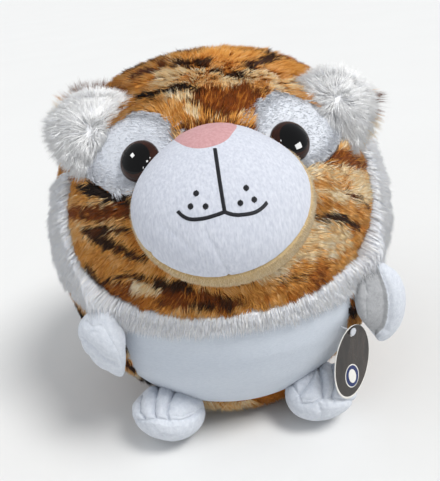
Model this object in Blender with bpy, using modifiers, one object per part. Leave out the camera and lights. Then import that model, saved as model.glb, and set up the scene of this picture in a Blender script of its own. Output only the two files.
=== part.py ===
"""A ball-shaped plush tiger that sits on its flat base, built from its sewn panels, its filling and its
plastic eyes. Metres, +Z up, the face looks along -Y, and the origin is on the floor under the ball's middle."""

import math

import bpy
import bmesh
from mathutils import Matrix, Vector

# The gap between pieces that touch, and the overrun of every cutter past what it cuts.
GAP = 0.0003
OVERRUN = 0.02
WELD = 0.00003

# The ball of filling: a turned shape, widest at CORE_MIDDLE above the floor and cut flat for its base.
CORE_RADIUS = 0.1325
CORE_RISE = 0.1475
CORE_MIDDLE = 0.1420
CORE_CUT = 0.0050
CORE_DROP = CORE_MIDDLE + CORE_CUT
CROWN_POWER = 2.3
BASE_CLOTH = 0.0040
BALL_SIDES = 40
CORE_SIDES = 32
BALL_RINGS_ABOVE = 8
BALL_RINGS_BELOW = 7

# How far each cloth stands out from the filling, its pile included.
TIGER_PILE = 0.0075
RUFF_PILE = 0.0115
BELLY_PILE = 0.0040
PATCH_PILE = 0.0065

# The face's own plane: tipped back from upright, with its outlines measured across it from the ball's middle.
# The outlines are shares of the ball's radius, as the panels follow the ball.
FACE_TIP = math.radians(34)
FACE_WIDTH_SHARE = 0.8453
FACE_RISE_SHARE = 0.6038
FACE_DROP_SHARE = 0.5698
FACE_FULLNESS_SHARE = 0.80
RUFF_WIDTH_SHARE = 1.0038
RUFF_RISE_SHARE = 0.7245
RUFF_DROP_SHARE = 0.6302
RUFF_TOP_SHARE = 0.3321
RUFF_FULLNESS_SHARE = 0.90
FACE_HALF_WIDTH = CORE_RADIUS * FACE_WIDTH_SHARE
FACE_RISE = CORE_RADIUS * FACE_RISE_SHARE
FACE_DROP = CORE_RADIUS * FACE_DROP_SHARE
RUFF_HALF_WIDTH = CORE_RADIUS * RUFF_WIDTH_SHARE
RUFF_RISE = CORE_RADIUS * RUFF_RISE_SHARE
RUFF_DROP = CORE_RADIUS * RUFF_DROP_SHARE
RUFF_TOP = CORE_RADIUS * RUFF_TOP_SHARE
OUTLINE_POINTS = 40
HALVINGS = 40

# The belly panel, as seen from the front, and the height of the seam round the base.
BASE_SEAM_HEIGHT = 0.023
BELLY_WIDTH_SHARE = 0.7094
BELLY_HALF_WIDTH = CORE_RADIUS * BELLY_WIDTH_SHARE
BELLY_CORNER = 0.045
BELLY_CORNER_POINTS = 8
BELLY_OVERLAP = 0.008

# The white eye patches and the plastic eyes, placed across the face's plane.
PATCH_X_SHARE = 0.4453
PATCH_UP_SHARE = 0.3245
PATCH_X = CORE_RADIUS * PATCH_X_SHARE
PATCH_UP = CORE_RADIUS * PATCH_UP_SHARE
PATCH_HALF_WIDTH = 0.038
PATCH_HALF_HEIGHT = 0.030
PATCH_TURN = math.radians(30)
PATCH_POINTS = 20
EYE_X_SHARE = 0.3774
EYE_UP_SHARE = 0.2340
EYE_X = CORE_RADIUS * EYE_X_SHARE
EYE_UP = CORE_RADIUS * EYE_UP_SHARE
EYE_RADIUS = 0.0145
EYE_DOME = 0.0100
EYE_RIM = 0.0015
EYE_SINK = 0.0025
EYE_SIDES = 20
EYE_DOME_RINGS = 5
POST_RADIUS = 0.0030
POST_LENGTH = 0.0130
WASHER_RADIUS = 0.0110
WASHER_THICKNESS = 0.0020
WASHER_DEPTH = 0.0016

# The muzzle: an egg across the face's plane, in a white front, a beige band, a pink nose and its filling.
MUZZLE_HALF_WIDTH = 0.0605
MUZZLE_HALF_HEIGHT = 0.0532
MUZZLE_NARROWING_SHARE = 0.16
MUZZLE_REACH = 0.0430
MUZZLE_BACK = 0.0500
MUZZLE_STAND_OFF = 0.0075
MUZZLE_OUT = CORE_RADIUS + MUZZLE_STAND_OFF
MUZZLE_UP = -0.0058
MUZZLE_CLOTH = 0.0030
BAND_EDGE = 0.0090
BAND_TILT = math.radians(8)
MUZZLE_SIDES = 32
MUZZLE_RINGS = 12
MUZZLE_INNER_SIDES = 24
MUZZLE_INNER_RINGS = 10
NOSE_UP = 0.0455
NOSE_HALF_WIDTH = 0.0225
NOSE_HALF_HEIGHT = 0.0190
NOSE_POINTS = 16

# The limbs' cloth, and the pads that they are made from.
LIMB_CLOTH = 0.0022
PAD_SIDES = 16
PAD_RINGS = 10

# The arms: flippers sewn under the ruff's corners. One lies on the ball and the other stands away from it.
ARM_LENGTH = 0.0900
ARM_ROOT = 0.0140
ARM_HALF_WIDTH = 0.0205
ARM_HALF_THICKNESS = 0.0090
ARM_NARROWING_SHARE = 0.25
ARM_LEFT_AZIMUTH = math.radians(40)
ARM_RIGHT_AZIMUTH = math.radians(44.3)
ARM_ABOVE_MIDDLE = 0.0010
ARM_HEIGHT = CORE_MIDDLE + ARM_ABOVE_MIDDLE
ARM_STAND_OFF = 0.0030
ARM_LEFT_SLANT = math.radians(15)
ARM_LEFT_LEAN = math.radians(-9)
ARM_LEFT_TWIST = math.radians(0)
ARM_LEFT_BOW = 0.0095
ARM_RIGHT_SLANT = math.radians(19)
ARM_RIGHT_LEAN = math.radians(3)
ARM_RIGHT_TWIST = math.radians(-22)
ARM_RIGHT_BOW = 0.0060
ARM_LIFTS = (math.radians(25), math.radians(60))

# The feet: paws with a seam between the upper and the sole, and stitched lines between the toes.
FOOT_HALF_WIDTH = 0.0300
FOOT_HALF_HEIGHT = 0.0225
FOOT_HALF_LENGTH = 0.0310
FOOT_X_SHARE = 0.4830
FOOT_FORWARD_SHARE = 0.6792
FOOT_X = CORE_RADIUS * FOOT_X_SHARE
FOOT_FORWARD = CORE_RADIUS * FOOT_FORWARD_SHARE
FOOT_LIFT = 0.0025
FOOT_SPLAY = math.radians(24)
FOOT_PITCH = math.radians(30)
SOLE_EDGE = -0.0020
TOE_GROOVE = 0.0024
TOE_LINE_SHARES = (-0.5, 0.0, 0.5)
TOE_MATCH_SHARE = 0.01
TOE_FACING = math.radians(50)
FOOT_RINGS = 18
FOOT_INNER_RINGS = 12
FOOT_SIDES = 16
FOOT_HINGE_BACK = 0.0160
FOOT_HINGE_UP = 0.0100
FOOT_TIPS = (math.radians(7), math.radians(14))

# The ears: flat round flaps, white fur in front and tiger cloth behind, sewn along a slanting line.
# The line's ends are shares of the ball's radius, its radius and its rise. The right ear sits a little lower.
EAR_LEFT_SEAM_SHARES = ((-0.382, -0.371, 0.855), (-0.636, -0.493, 0.613))
EAR_RIGHT_SEAM_SHARES = ((0.443, -0.386, 0.806), (0.682, -0.500, 0.561))
EAR_DIRECTION = (0.81, 0.14, 0.53)
EAR_ROOT = 0.0330
EAR_LENGTH = 0.0740
EAR_HALF_WIDTH = 0.0300
EAR_HALF_THICKNESS = 0.0070
EAR_FOLDS = (math.radians(-15), math.radians(-5), math.radians(20))

# The tail hangs behind the ball from its seam.
TAIL_LENGTH = 0.1150
TAIL_ROOT = 0.0150
TAIL_RADIUS = 0.0130
TAIL_BELOW_MIDDLE = 0.0220
TAIL_HEIGHT = CORE_MIDDLE - TAIL_BELOW_MIDDLE
TAIL_SINK = 0.0020
TAIL_SIDES = 12
TAIL_RINGS = 8
TAIL_LIFTS = (math.radians(35), math.radians(70))

# The swing tag: an oval card on a thin plastic pin that is shot through the cloth beside the belly's seam.
TAG_HALF_WIDTH = 0.0215
TAG_HALF_HEIGHT = 0.0330
TAG_THICKNESS = 0.0008
TAG_HOLE_RADIUS = 0.0021
TAG_HOLE_INSET = 0.0055
TAG_POINTS = 32
TAG_HOLE_POINTS = 12
TAG_AZIMUTH = math.radians(37.5)
PIN_BELOW_ARM = 0.0460
PIN_HEIGHT = ARM_HEIGHT - PIN_BELOW_ARM
PIN_RADIUS = 0.0006
PIN_REACH = 0.0085
PIN_CARD_AT = 0.0065
PIN_PADDLE_RADIUS = 0.0032
PIN_PADDLE_THICKNESS = 0.0010
PIN_DEPTH = 0.0110
PIN_STOP_RADIUS = 0.0030
PIN_STOP_THICKNESS = 0.0015
PIN_CLEARANCE = 0.0003
PIN_SIDES = 8

ORANGE = (0.78, 0.42, 0.15)
CREAM = (0.80, 0.62, 0.38)
WHITE_FUR = (0.90, 0.90, 0.91)
WHITE_CLOTH = (0.82, 0.85, 0.90)
BEIGE = (0.80, 0.66, 0.45)
PINK = (0.90, 0.60, 0.62)
FILLING = (0.93, 0.93, 0.92)
EYE_BROWN = (0.03, 0.015, 0.01)
WASHER_WHITE = (0.85, 0.85, 0.83)
CARD_GREY = (0.25, 0.23, 0.21)
PIN_CLEAR = (0.85, 0.86, 0.88)

CENTRE = Vector((0, 0, CORE_MIDDLE))


def clear_scene():
    """Removes whatever the file holds, and makes the collections of the toy's pieces and of the cutters."""
    for old in list(bpy.data.objects):
        bpy.data.objects.remove(old)
    pieces = bpy.data.collections.new("plush_tiger")
    cutters = bpy.data.collections.new("cutters")
    bpy.context.scene.collection.children.link(pieces)
    bpy.context.scene.collection.children.link(cutters)
    return pieces, cutters


PIECES, CUTTERS = clear_scene()


def material(name, colour, roughness, metallic=0.0):
    """A Principled material of one colour, made once and shared by name."""
    found = bpy.data.materials.get(name)
    if found:
        return found
    made = bpy.data.materials.new(name)
    made.use_nodes = True
    shader = made.node_tree.nodes["Principled BSDF"]
    shader.inputs["Base Color"].default_value = (*colour, 1)
    shader.inputs["Roughness"].default_value = roughness
    shader.inputs["Metallic"].default_value = metallic
    return made


def tiger_plush():
    return material("tiger_plush", ORANGE, 0.95)


def white_fur():
    return material("white_fur", WHITE_FUR, 0.95)


def white_cloth():
    return material("white_cloth", WHITE_CLOTH, 0.9)


def filling():
    return material("filling", FILLING, 1.0)


def piece(name, mesh, look, frame=None):
    """A sub-part of the toy, in its own node."""
    made = bpy.data.objects.new(name, mesh)
    mesh.materials.clear()
    mesh.materials.append(look)
    PIECES.objects.link(made)
    if frame is not None:
        made.matrix_world = frame
    return made


def cutter(name, mesh, frame=None):
    """A helper that only cuts."""
    made = bpy.data.objects.new(name, mesh)
    CUTTERS.objects.link(made)
    made.hide_render = True
    made.display_type = "WIRE"
    if frame is not None:
        made.matrix_world = frame
    return made


def trim(target, *tools, operation="DIFFERENCE"):
    """Cuts the tools out of the target, or with INTERSECT keeps only what lies in them."""
    for tool in tools:
        made = target.modifiers.new(tool.name, "BOOLEAN")
        made.operation = operation
        made.object = tool
    return target


def smooth(target, angle=math.radians(40)):
    """Shades a round piece smooth, apart from its sharp edges."""
    target.data.shade_smooth()
    target.data.set_sharp_from_angle(angle=angle)
    return target


def mesh_of(source, name):
    """The evaluated mesh of a helper, with its loose caps welded. The helper goes."""
    bpy.context.view_layer.update()
    graph = bpy.context.evaluated_depsgraph_get()
    made = bpy.data.meshes.new_from_object(source.evaluated_get(graph))
    made.name = name
    work = bmesh.new()
    work.from_mesh(made)
    bmesh.ops.remove_doubles(work, verts=work.verts, dist=WELD)
    bmesh.ops.recalc_face_normals(work, faces=work.faces)
    work.to_mesh(made)
    work.free()
    bpy.data.objects.remove(source)
    return made


def primitive(name, build, **sizes):
    """A mesh from one of bmesh's primitives."""
    work = bmesh.new()
    build(work, **sizes)
    made = bpy.data.meshes.new(name)
    work.to_mesh(made)
    work.free()
    return made


def turned_mesh(name, profile, sides):
    """A solid of revolution about Z. The profile runs down its outer side, as (radius, height)."""
    made = bpy.data.meshes.new(name)
    edges = [(i, i + 1) for i in range(len(profile) - 1)]
    made.from_pydata([(radius, 0, height) for radius, height in profile], edges, [])
    helper = bpy.data.objects.new(name, made)
    CUTTERS.objects.link(helper)
    screw = helper.modifiers.new("turn", "SCREW")
    screw.steps = sides
    screw.render_steps = sides
    screw.use_merge_vertices = True
    screw.merge_threshold = WELD
    return mesh_of(helper, name)


def prism_mesh(name, outline, near, far):
    """A flat outline, as (x, y), extruded along Z from near to far."""
    curve = bpy.data.curves.new(name, "CURVE")
    curve.dimensions = "2D"
    curve.fill_mode = "BOTH"
    curve.extrude = (far - near) / 2
    spline = curve.splines.new("POLY")
    spline.points.add(len(outline) - 1)
    for point, (x, y) in zip(spline.points, outline):
        point.co = (x, y, 0, 1)
    spline.use_cyclic_u = True
    helper = bpy.data.objects.new(name, curve)
    CUTTERS.objects.link(helper)
    made = mesh_of(helper, name)
    made.transform(Matrix.Translation((0, 0, (near + far) / 2)))
    return made


def box_mesh(name, low, high):
    """A box between two corners."""
    made = primitive(name, bmesh.ops.create_cube, size=1.0)
    spans = [b - a for a, b in zip(low, high)]
    middle = [(a + b) / 2 for a, b in zip(low, high)]
    made.transform(Matrix.Translation(middle) @ Matrix.Diagonal((*spans, 1)))
    return made


def oval(half_width, rise, drop, count, fullness=(1.0, 1.0), grow=0.0):
    """Points of an oval about the origin. A fullness under 1 squares the shoulders of its upper or lower half."""
    points = []
    for i in range(count):
        turn = math.tau * i / count
        across, up = math.cos(turn), math.sin(turn)
        height, full = (rise, fullness[0]) if up > 0 else (drop, fullness[1])
        points.append(
            (
                (half_width + grow) * math.copysign(abs(across) ** full, across),
                (height + grow) * math.copysign(abs(up) ** full, up),
            )
        )
    return points


def ball_profile(stand_out, floor):
    """The ball's turned outline at a distance outside its filling, cut flat at a height above the floor."""
    radius = CORE_RADIUS + stand_out
    rise, drop = CORE_RISE + stand_out, CORE_DROP + stand_out
    full = 2 / CROWN_POWER
    points = []
    for i in range(BALL_RINGS_ABOVE):
        turn = math.pi / 2 * i / BALL_RINGS_ABOVE
        points.append((radius * math.sin(turn) ** full, CORE_MIDDLE + rise * math.cos(turn) ** full))
    last = math.asin((CORE_MIDDLE - floor) / drop)
    for i in range(BALL_RINGS_BELOW + 1):
        turn = last * i / BALL_RINGS_BELOW
        points.append((radius * math.cos(turn), CORE_MIDDLE - drop * math.sin(turn)))
    points.append((0, floor))
    return points


def ball_mesh(name, stand_out, floor=0.0, sides=BALL_SIDES):
    return turned_mesh(name, ball_profile(stand_out, floor), sides)


def ball_half(stand_out, above):
    """The ball's half-height, and the power of its outline, above or below its middle."""
    if above > 0:
        return CORE_RISE + stand_out, CROWN_POWER
    return CORE_DROP + stand_out, 2


def ball_reach(stand_out, height):
    """The ball's radius at a height above the floor, at a distance outside its filling."""
    above = height - CORE_MIDDLE
    half, power = ball_half(stand_out, above)
    share = min(1.0, abs(above) / half)
    return (CORE_RADIUS + stand_out) * (1 - share**power) ** (1 / power)


def frame_of(origin, across, up):
    """A frame with its Z along up, and its X as near to across as it can be."""
    z = Vector(up).normalized()
    y = z.cross(Vector(across)).normalized()
    x = y.cross(z)
    made = Matrix((x, y, z)).transposed().to_4x4()
    made.translation = origin
    return made


FACE_FRAME = Matrix.Translation(CENTRE) @ Matrix.Rotation(math.pi / 2 - FACE_TIP, 4, "X")


def on_ball(x, up, stand_out):
    """The point and the outward normal of the ball's front where a line along the face's axis meets it."""
    low, high = 0.0, CORE_RADIUS + CORE_RISE
    for _ in range(HALVINGS):
        middle = (low + high) / 2
        point = FACE_FRAME @ Vector((x, up, middle))
        if point.to_2d().length < ball_reach(stand_out, point.z):
            low = middle
        else:
            high = middle
    above = point.z - CORE_MIDDLE
    half, power = ball_half(stand_out, above)
    radius, reach = CORE_RADIUS + stand_out, point.to_2d().length
    slope = (reach / radius) ** (power - 1) / radius
    rise = math.copysign((abs(above) / half) ** (power - 1) / half, above)
    return point, Vector((slope * point.x / reach, slope * point.y / reach, rise)).normalized()


def swept(label, tools, origin, axis, turns):
    """Copies of cutters as they stand to a limb at each turn of its joint, so that the limb clears them."""
    copies = []
    for tool in tools:
        for i, turn in enumerate(turns):
            back = (
                Matrix.Translation(origin)
                @ Matrix.Rotation(-turn, 4, Vector(axis))
                @ Matrix.Translation(-Vector(origin))
            )
            copies.append(cutter(f"{label}_{tool.name}_{i}", tool.data, back @ tool.matrix_world))
    return copies


# The cutters that every panel shares.

PLUSH_ENVELOPE = cutter("plush_envelope", ball_mesh("plush_envelope", TIGER_PILE + GAP))
CORE_SPACE = cutter("core_space", ball_mesh("core_space", GAP, BASE_CLOTH, CORE_SIDES))
DEEP = CORE_RADIUS + CORE_RISE + OVERRUN


def face_prism(name, grow=0.0):
    full = (FACE_FULLNESS_SHARE, 1.0)
    outline = oval(FACE_HALF_WIDTH, FACE_RISE, FACE_DROP, OUTLINE_POINTS, full, grow)
    return cutter(name, prism_mesh(name, outline, 0, DEEP), FACE_FRAME)


def ruff_prism(name, grow=0.0):
    full = (1.0, RUFF_FULLNESS_SHARE)
    outline = oval(RUFF_HALF_WIDTH, RUFF_RISE, RUFF_DROP, OUTLINE_POINTS, full, grow)
    made = cutter(name, prism_mesh(name, outline, 0, DEEP), FACE_FRAME)
    above = box_mesh(f"{name}_top", (-DEEP, RUFF_TOP + grow, -DEEP), (DEEP, DEEP, DEEP))
    trim(made, cutter(f"{name}_top", above, FACE_FRAME))
    return made


def ruff_wedge():
    """The ruff as a solid wedge of the ball, which stands out further than the rest."""
    made = cutter("ruff_wedge", ball_mesh("ruff_wedge", RUFF_PILE + GAP))
    trim(made, RUFF_ROOM, operation="INTERSECT")
    return cutter("ruff_body", mesh_of(made, "ruff_body"))


def belly_outline(grow=0.0):
    """The belly's outline from the front: straight sides, with its lower corners rounded off."""
    half, low = BELLY_HALF_WIDTH + grow, BASE_SEAM_HEIGHT - BELLY_OVERLAP - grow
    points = []
    for i in range(BELLY_CORNER_POINTS + 1):
        turn = math.pi / 2 * i / BELLY_CORNER_POINTS
        points.append(
            (
                half - BELLY_CORNER + BELLY_CORNER * math.sin(turn),
                low + BELLY_CORNER - BELLY_CORNER * math.cos(turn),
            )
        )
    points.append((half, CORE_MIDDLE + OVERRUN))
    return points + [(-x, y) for x, y in reversed(points)]


UPRIGHT = Matrix.Rotation(math.pi / 2, 4, "X")


def belly_prism(name, grow=0.0):
    return cutter(name, prism_mesh(name, belly_outline(grow), 0, DEEP), UPRIGHT)


FACE_CUT = face_prism("face_cut")
FACE_ROOM = face_prism("face_room", GAP)
RUFF_CUT = ruff_prism("ruff_cut")
RUFF_ROOM = ruff_prism("ruff_room", GAP)
BELLY_CUT = belly_prism("belly_cut")
BELLY_ROOM = belly_prism("belly_room", GAP)
BASE_CUT = cutter(
    "base_cut", box_mesh("base_cut", (-DEEP, -DEEP, -OVERRUN), (DEEP, DEEP, BASE_SEAM_HEIGHT))
)
BASE_ROOM = cutter(
    "base_room", box_mesh("base_room", (-DEEP, -DEEP, -OVERRUN), (DEEP, DEEP, BASE_SEAM_HEIGHT + GAP))
)


def side_room(name, side):
    """A cutter that leaves only one side of the ball: 1 for +X, and -1 for -X."""
    edges = sorted((side * GAP / 2, -side * DEEP))
    return cutter(name, box_mesh(name, (edges[0], -DEEP, -DEEP), (edges[1], DEEP, 2 * DEEP)))


LEFT_ONLY = side_room("left_only", -1)
RIGHT_ONLY = side_room("right_only", 1)
RUFF_BODY = ruff_wedge()
SIDES = {"left": (-1, LEFT_ONLY), "right": (1, RIGHT_ONLY)}


def make_panels():
    """The cloth panels of the ball, each a piece of the turned shell between its seams."""
    face = piece("face_panel", ball_mesh("face_panel", TIGER_PILE), tiger_plush())
    trim(face, FACE_CUT, operation="INTERSECT")
    trim(face, CORE_SPACE)
    panels = {"face": face}

    belly = piece("belly_panel", ball_mesh("belly_panel", BELLY_PILE), white_cloth())
    trim(belly, BELLY_CUT, operation="INTERSECT")
    trim(belly, CORE_SPACE, BASE_ROOM, RUFF_ROOM, FACE_ROOM)
    panels["belly"] = belly

    base = piece("base_panel", ball_mesh("base_panel", TIGER_PILE), tiger_plush())
    trim(base, BASE_CUT, operation="INTERSECT")
    trim(base, CORE_SPACE)
    panels["base"] = base

    for name, (_, other_side) in SIDES.items():
        ruff = piece(f"ruff_{name}", ball_mesh(f"ruff_{name}", RUFF_PILE), white_fur())
        trim(ruff, RUFF_CUT, operation="INTERSECT")
        trim(ruff, CORE_SPACE, FACE_ROOM, other_side)
        panels[f"ruff_{name}"] = ruff
        back = piece(f"back_panel_{name}", ball_mesh(f"back_{name}", TIGER_PILE), tiger_plush())
        trim(back, CORE_SPACE, FACE_ROOM, RUFF_ROOM, BELLY_ROOM, BASE_ROOM, other_side)
        panels[f"back_{name}"] = back
    return panels


def make_eyes(panels, core):
    """White patches let into the face, with a plastic eye on each and its washer behind the cloth."""
    rooms = []
    for name, (side, _) in SIDES.items():
        middle = FACE_FRAME @ Matrix.Translation((side * PATCH_X, PATCH_UP, 0))
        middle = middle @ Matrix.Rotation(side * PATCH_TURN, 4, "Z")
        for label, grow in (("cut", 0.0), ("room", GAP)):
            outline = oval(PATCH_HALF_WIDTH, PATCH_HALF_HEIGHT, PATCH_HALF_HEIGHT, PATCH_POINTS, grow=grow)
            tool = cutter(f"patch_{label}_{name}", prism_mesh(f"patch_{label}_{name}", outline, 0, DEEP), middle)
            if label == "cut":
                patch = piece(f"eye_patch_{name}", ball_mesh(f"patch_{name}", PATCH_PILE), white_fur())
                trim(patch, tool, FACE_CUT, operation="INTERSECT")
                trim(patch, CORE_SPACE)
            else:
                trim(panels["face"], tool)

        seat, normal = on_ball(side * EYE_X, EYE_UP, PATCH_PILE - EYE_SINK)
        frame = frame_of(seat, (1, 0, 0), normal)
        profile = [(0, EYE_DOME)]
        for i in range(1, EYE_DOME_RINGS):
            turn = math.pi / 2 * i / EYE_DOME_RINGS
            height = EYE_RIM + (EYE_DOME - EYE_RIM) * math.cos(turn)
            profile.append((EYE_RADIUS * math.sin(turn), height))
        profile += [
            (EYE_RADIUS, EYE_RIM),
            (EYE_RADIUS, 0),
            (POST_RADIUS, 0),
            (POST_RADIUS, -POST_LENGTH),
            (0, -POST_LENGTH),
        ]
        eye = piece(f"eye_{name}", turned_mesh(f"eye_{name}", profile, EYE_SIDES), eye_plastic(), frame)
        smooth(eye)

        washer_top = -(PATCH_PILE - EYE_SINK) - WASHER_DEPTH
        washer_low = washer_top - WASHER_THICKNESS
        hole = POST_RADIUS + GAP
        ring = [
            (hole, washer_top),
            (WASHER_RADIUS, washer_top),
            (WASHER_RADIUS, washer_low),
            (hole, washer_low),
            (hole, washer_top),
        ]
        piece(f"eye_washer_{name}", turned_mesh(f"washer_{name}", ring, EYE_SIDES), washer_plastic(), frame)

        seat_room = primitive(
            f"eye_seat_{name}",
            bmesh.ops.create_cone,
            cap_ends=True,
            segments=EYE_SIDES,
            radius1=EYE_RADIUS + GAP,
            radius2=EYE_RADIUS + GAP,
            depth=OVERRUN,
            matrix=Matrix.Translation((0, 0, OVERRUN / 2 - GAP)),
        )
        post_room = primitive(
            f"eye_post_{name}",
            bmesh.ops.create_cone,
            cap_ends=True,
            segments=EYE_SIDES,
            radius1=hole,
            radius2=hole,
            depth=2 * OVERRUN,
        )
        pocket_depth = POST_LENGTH + GAP
        pocket = primitive(
            f"eye_pocket_{name}",
            bmesh.ops.create_cone,
            cap_ends=True,
            segments=EYE_SIDES,
            radius1=WASHER_RADIUS + GAP,
            radius2=WASHER_RADIUS + GAP,
            depth=pocket_depth,
            matrix=Matrix.Translation((0, 0, -pocket_depth / 2)),
        )
        seat_tool = cutter(f"eye_seat_{name}", seat_room, frame)
        rooms.append(seat_tool)
        trim(patch, seat_tool, cutter(f"eye_post_{name}", post_room, frame))
        trim(core, cutter(f"eye_pocket_{name}", pocket, frame))
    return rooms


def eye_plastic():
    return material("eye_plastic", EYE_BROWN, 0.08)


def washer_plastic():
    return material("washer_plastic", WASHER_WHITE, 0.5)


def muzzle_mesh(name, inset=0.0):
    """The muzzle's egg about its own middle, or a plainer one inside its cloth."""
    sides, rings = (MUZZLE_INNER_SIDES, MUZZLE_INNER_RINGS) if inset else (MUZZLE_SIDES, MUZZLE_RINGS)
    made = primitive(name, bmesh.ops.create_uvsphere, u_segments=sides, v_segments=rings, radius=1.0)
    for vertex in made.vertices:
        reach = MUZZLE_REACH if vertex.co.z > 0 else MUZZLE_BACK
        narrowing = 1 - MUZZLE_NARROWING_SHARE * max(0.0, vertex.co.y) ** 2
        vertex.co.x *= (MUZZLE_HALF_WIDTH - inset) * narrowing
        vertex.co.y *= MUZZLE_HALF_HEIGHT - inset
        vertex.co.z *= reach - inset
    return made


def make_muzzle(eye_rooms):
    """The muzzle stands on the face: a filling, a band round its side, a white front and a nose at its top."""
    frame = FACE_FRAME @ Matrix.Translation((0, MUZZLE_UP, MUZZLE_OUT))
    inner = cutter("muzzle_space", muzzle_mesh("muzzle_space", MUZZLE_CLOTH - GAP), frame)
    wide = MUZZLE_HALF_WIDTH + OVERRUN
    edge = frame @ Matrix.Translation((0, 0, BAND_EDGE)) @ Matrix.Rotation(-BAND_TILT, 4, "X")
    front_mesh = box_mesh("muzzle_front_cut", (-wide, -wide, 0), (wide, wide, wide))
    front = cutter("muzzle_front_cut", front_mesh, edge)
    room_mesh = box_mesh("muzzle_band_cut", (-wide, -wide, -GAP), (wide, wide, wide))
    front_room = cutter("muzzle_band_cut", room_mesh, edge)
    nose_frame = frame @ Matrix.Translation((0, NOSE_UP, 0))
    nose_tools = []
    for label, grow in (("cut", 0.0), ("room", GAP)):
        outline = oval(NOSE_HALF_WIDTH, NOSE_HALF_HEIGHT, NOSE_HALF_HEIGHT, NOSE_POINTS, grow=grow)
        outline_mesh = prism_mesh(f"nose_{label}", outline, 0, wide)
        nose_tools.append(cutter(f"nose_{label}", outline_mesh, nose_frame))

    stuffing = piece("muzzle_filling", muzzle_mesh("muzzle_filling", MUZZLE_CLOTH), filling(), frame)
    trim(stuffing, PLUSH_ENVELOPE, *eye_rooms)
    panel = piece("muzzle_panel", muzzle_mesh("muzzle_panel"), white_cloth(), frame)
    trim(panel, front, operation="INTERSECT")
    trim(panel, inner, nose_tools[1], PLUSH_ENVELOPE, *eye_rooms)
    band = piece("muzzle_band", muzzle_mesh("muzzle_band"), material("beige_plush", BEIGE, 0.95), frame)
    trim(band, inner, front_room, PLUSH_ENVELOPE, *eye_rooms)
    nose = piece("nose", muzzle_mesh("nose"), material("pink_plush", PINK, 0.95), frame)
    trim(nose, nose_tools[0], front, operation="INTERSECT")
    trim(nose, inner, PLUSH_ENVELOPE, *eye_rooms)
    for made in (stuffing, panel, band, nose):
        smooth(made)


def pad_mesh(
    name,
    length,
    half_width,
    half_thickness,
    root=0.0,
    narrowing=0.0,
    bow=0.0,
    sides=PAD_SIDES,
    rings=PAD_RINGS,
    inset=0.0,
):
    """A stuffed pad along -Z, with its root above the origin. It narrows to its tip and bows along +Y."""
    made = primitive(name, bmesh.ops.create_uvsphere, u_segments=sides, v_segments=rings, radius=1.0)
    for vertex in made.vertices:
        along = (vertex.co.z + 1) / 2
        fullness = 1 - narrowing * max(0.0, -vertex.co.z)
        vertex.co.x *= (half_width - inset) * fullness
        vertex.co.y = vertex.co.y * (half_thickness - inset) * fullness + 4 * bow * along * (1 - along)
        vertex.co.z = vertex.co.z * (length / 2 - inset) - length / 2 + root
    return made


def bag(name, look, sizes, frame, tools):
    """A limb: a sewn bag, open where it meets the ball, and the filling inside it."""
    cover = piece(name, pad_mesh(name, **sizes), look, frame)
    space = cutter(f"{name}_space", pad_mesh(f"{name}_space", **sizes, inset=LIMB_CLOTH - GAP), frame)
    trim(cover, space, *tools)
    stuffing = piece(f"{name}_filling", pad_mesh(f"{name}_filling", **sizes, inset=LIMB_CLOTH), filling(), frame)
    trim(stuffing, *tools)
    smooth(cover)
    smooth(stuffing)


def arm_frame(side, azimuth, slant=0.0, lean=0.0, twist=0.0):
    """Where an arm hangs: its Z up along the arm, and its X along the shoulder's seam."""
    reach = ball_reach(TIGER_PILE, ARM_HEIGHT) + ARM_STAND_OFF
    out = Vector((side * math.sin(azimuth), -math.cos(azimuth), 0))
    shoulder = out * reach
    shoulder.z = ARM_HEIGHT
    made = frame_of(shoulder, out.cross(Vector((0, 0, 1))), (0, 0, 1))
    return (
        made
        @ Matrix.Rotation(lean, 4, "X")
        @ Matrix.Rotation(side * slant, 4, "Y")
        @ Matrix.Rotation(side * twist, 4, "Z")
    )


def make_arms():
    """Each arm is sewn under a corner of the ruff, and lifts about that seam."""
    settings = {
        "left": (ARM_LEFT_AZIMUTH, ARM_LEFT_SLANT, ARM_LEFT_LEAN, ARM_LEFT_TWIST, ARM_LEFT_BOW),
        "right": (ARM_RIGHT_AZIMUTH, ARM_RIGHT_SLANT, ARM_RIGHT_LEAN, ARM_RIGHT_TWIST, ARM_RIGHT_BOW),
    }
    for name, (side, _) in SIDES.items():
        azimuth, slant, lean, twist, bow = settings[name]
        frame = arm_frame(side, azimuth, slant, lean, twist)
        origin = frame.translation
        axis = arm_frame(side, azimuth).col[0].to_3d()
        tools = [PLUSH_ENVELOPE, RUFF_ROOM]
        tools += swept(f"arm_{name}", [PLUSH_ENVELOPE, RUFF_BODY], origin, axis, ARM_LIFTS)
        sizes = dict(
            length=ARM_LENGTH,
            half_width=ARM_HALF_WIDTH,
            half_thickness=ARM_HALF_THICKNESS,
            root=ARM_ROOT,
            narrowing=ARM_NARROWING_SHARE,
            bow=bow,
        )
        bag(f"arm_{name}", white_cloth(), sizes, frame, tools)


def foot_mesh(name, inset=0.0):
    """A paw about its own middle, with its toes at -Y parted by grooves over the top. Inside it is plainer."""
    rings = FOOT_INNER_RINGS if inset else FOOT_RINGS
    made = primitive(name, bmesh.ops.create_uvsphere, u_segments=FOOT_SIDES, v_segments=rings, radius=1.0)
    facing = Vector((-math.cos(TOE_FACING), math.sin(TOE_FACING)))
    for vertex in made.vertices:
        ring, around = vertex.co.z, Vector((vertex.co.x, vertex.co.y))
        grooved = any(abs(ring - line) < TOE_MATCH_SHARE for line in TOE_LINE_SHARES)
        depth = TOE_GROOVE * max(0.0, around.normalized().dot(facing)) if grooved else 0.0
        vertex.co = (
            ring * (FOOT_HALF_WIDTH - inset),
            around.x * (FOOT_HALF_LENGTH - inset - depth),
            around.y * (FOOT_HALF_HEIGHT - inset - depth),
        )
    return made


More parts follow.
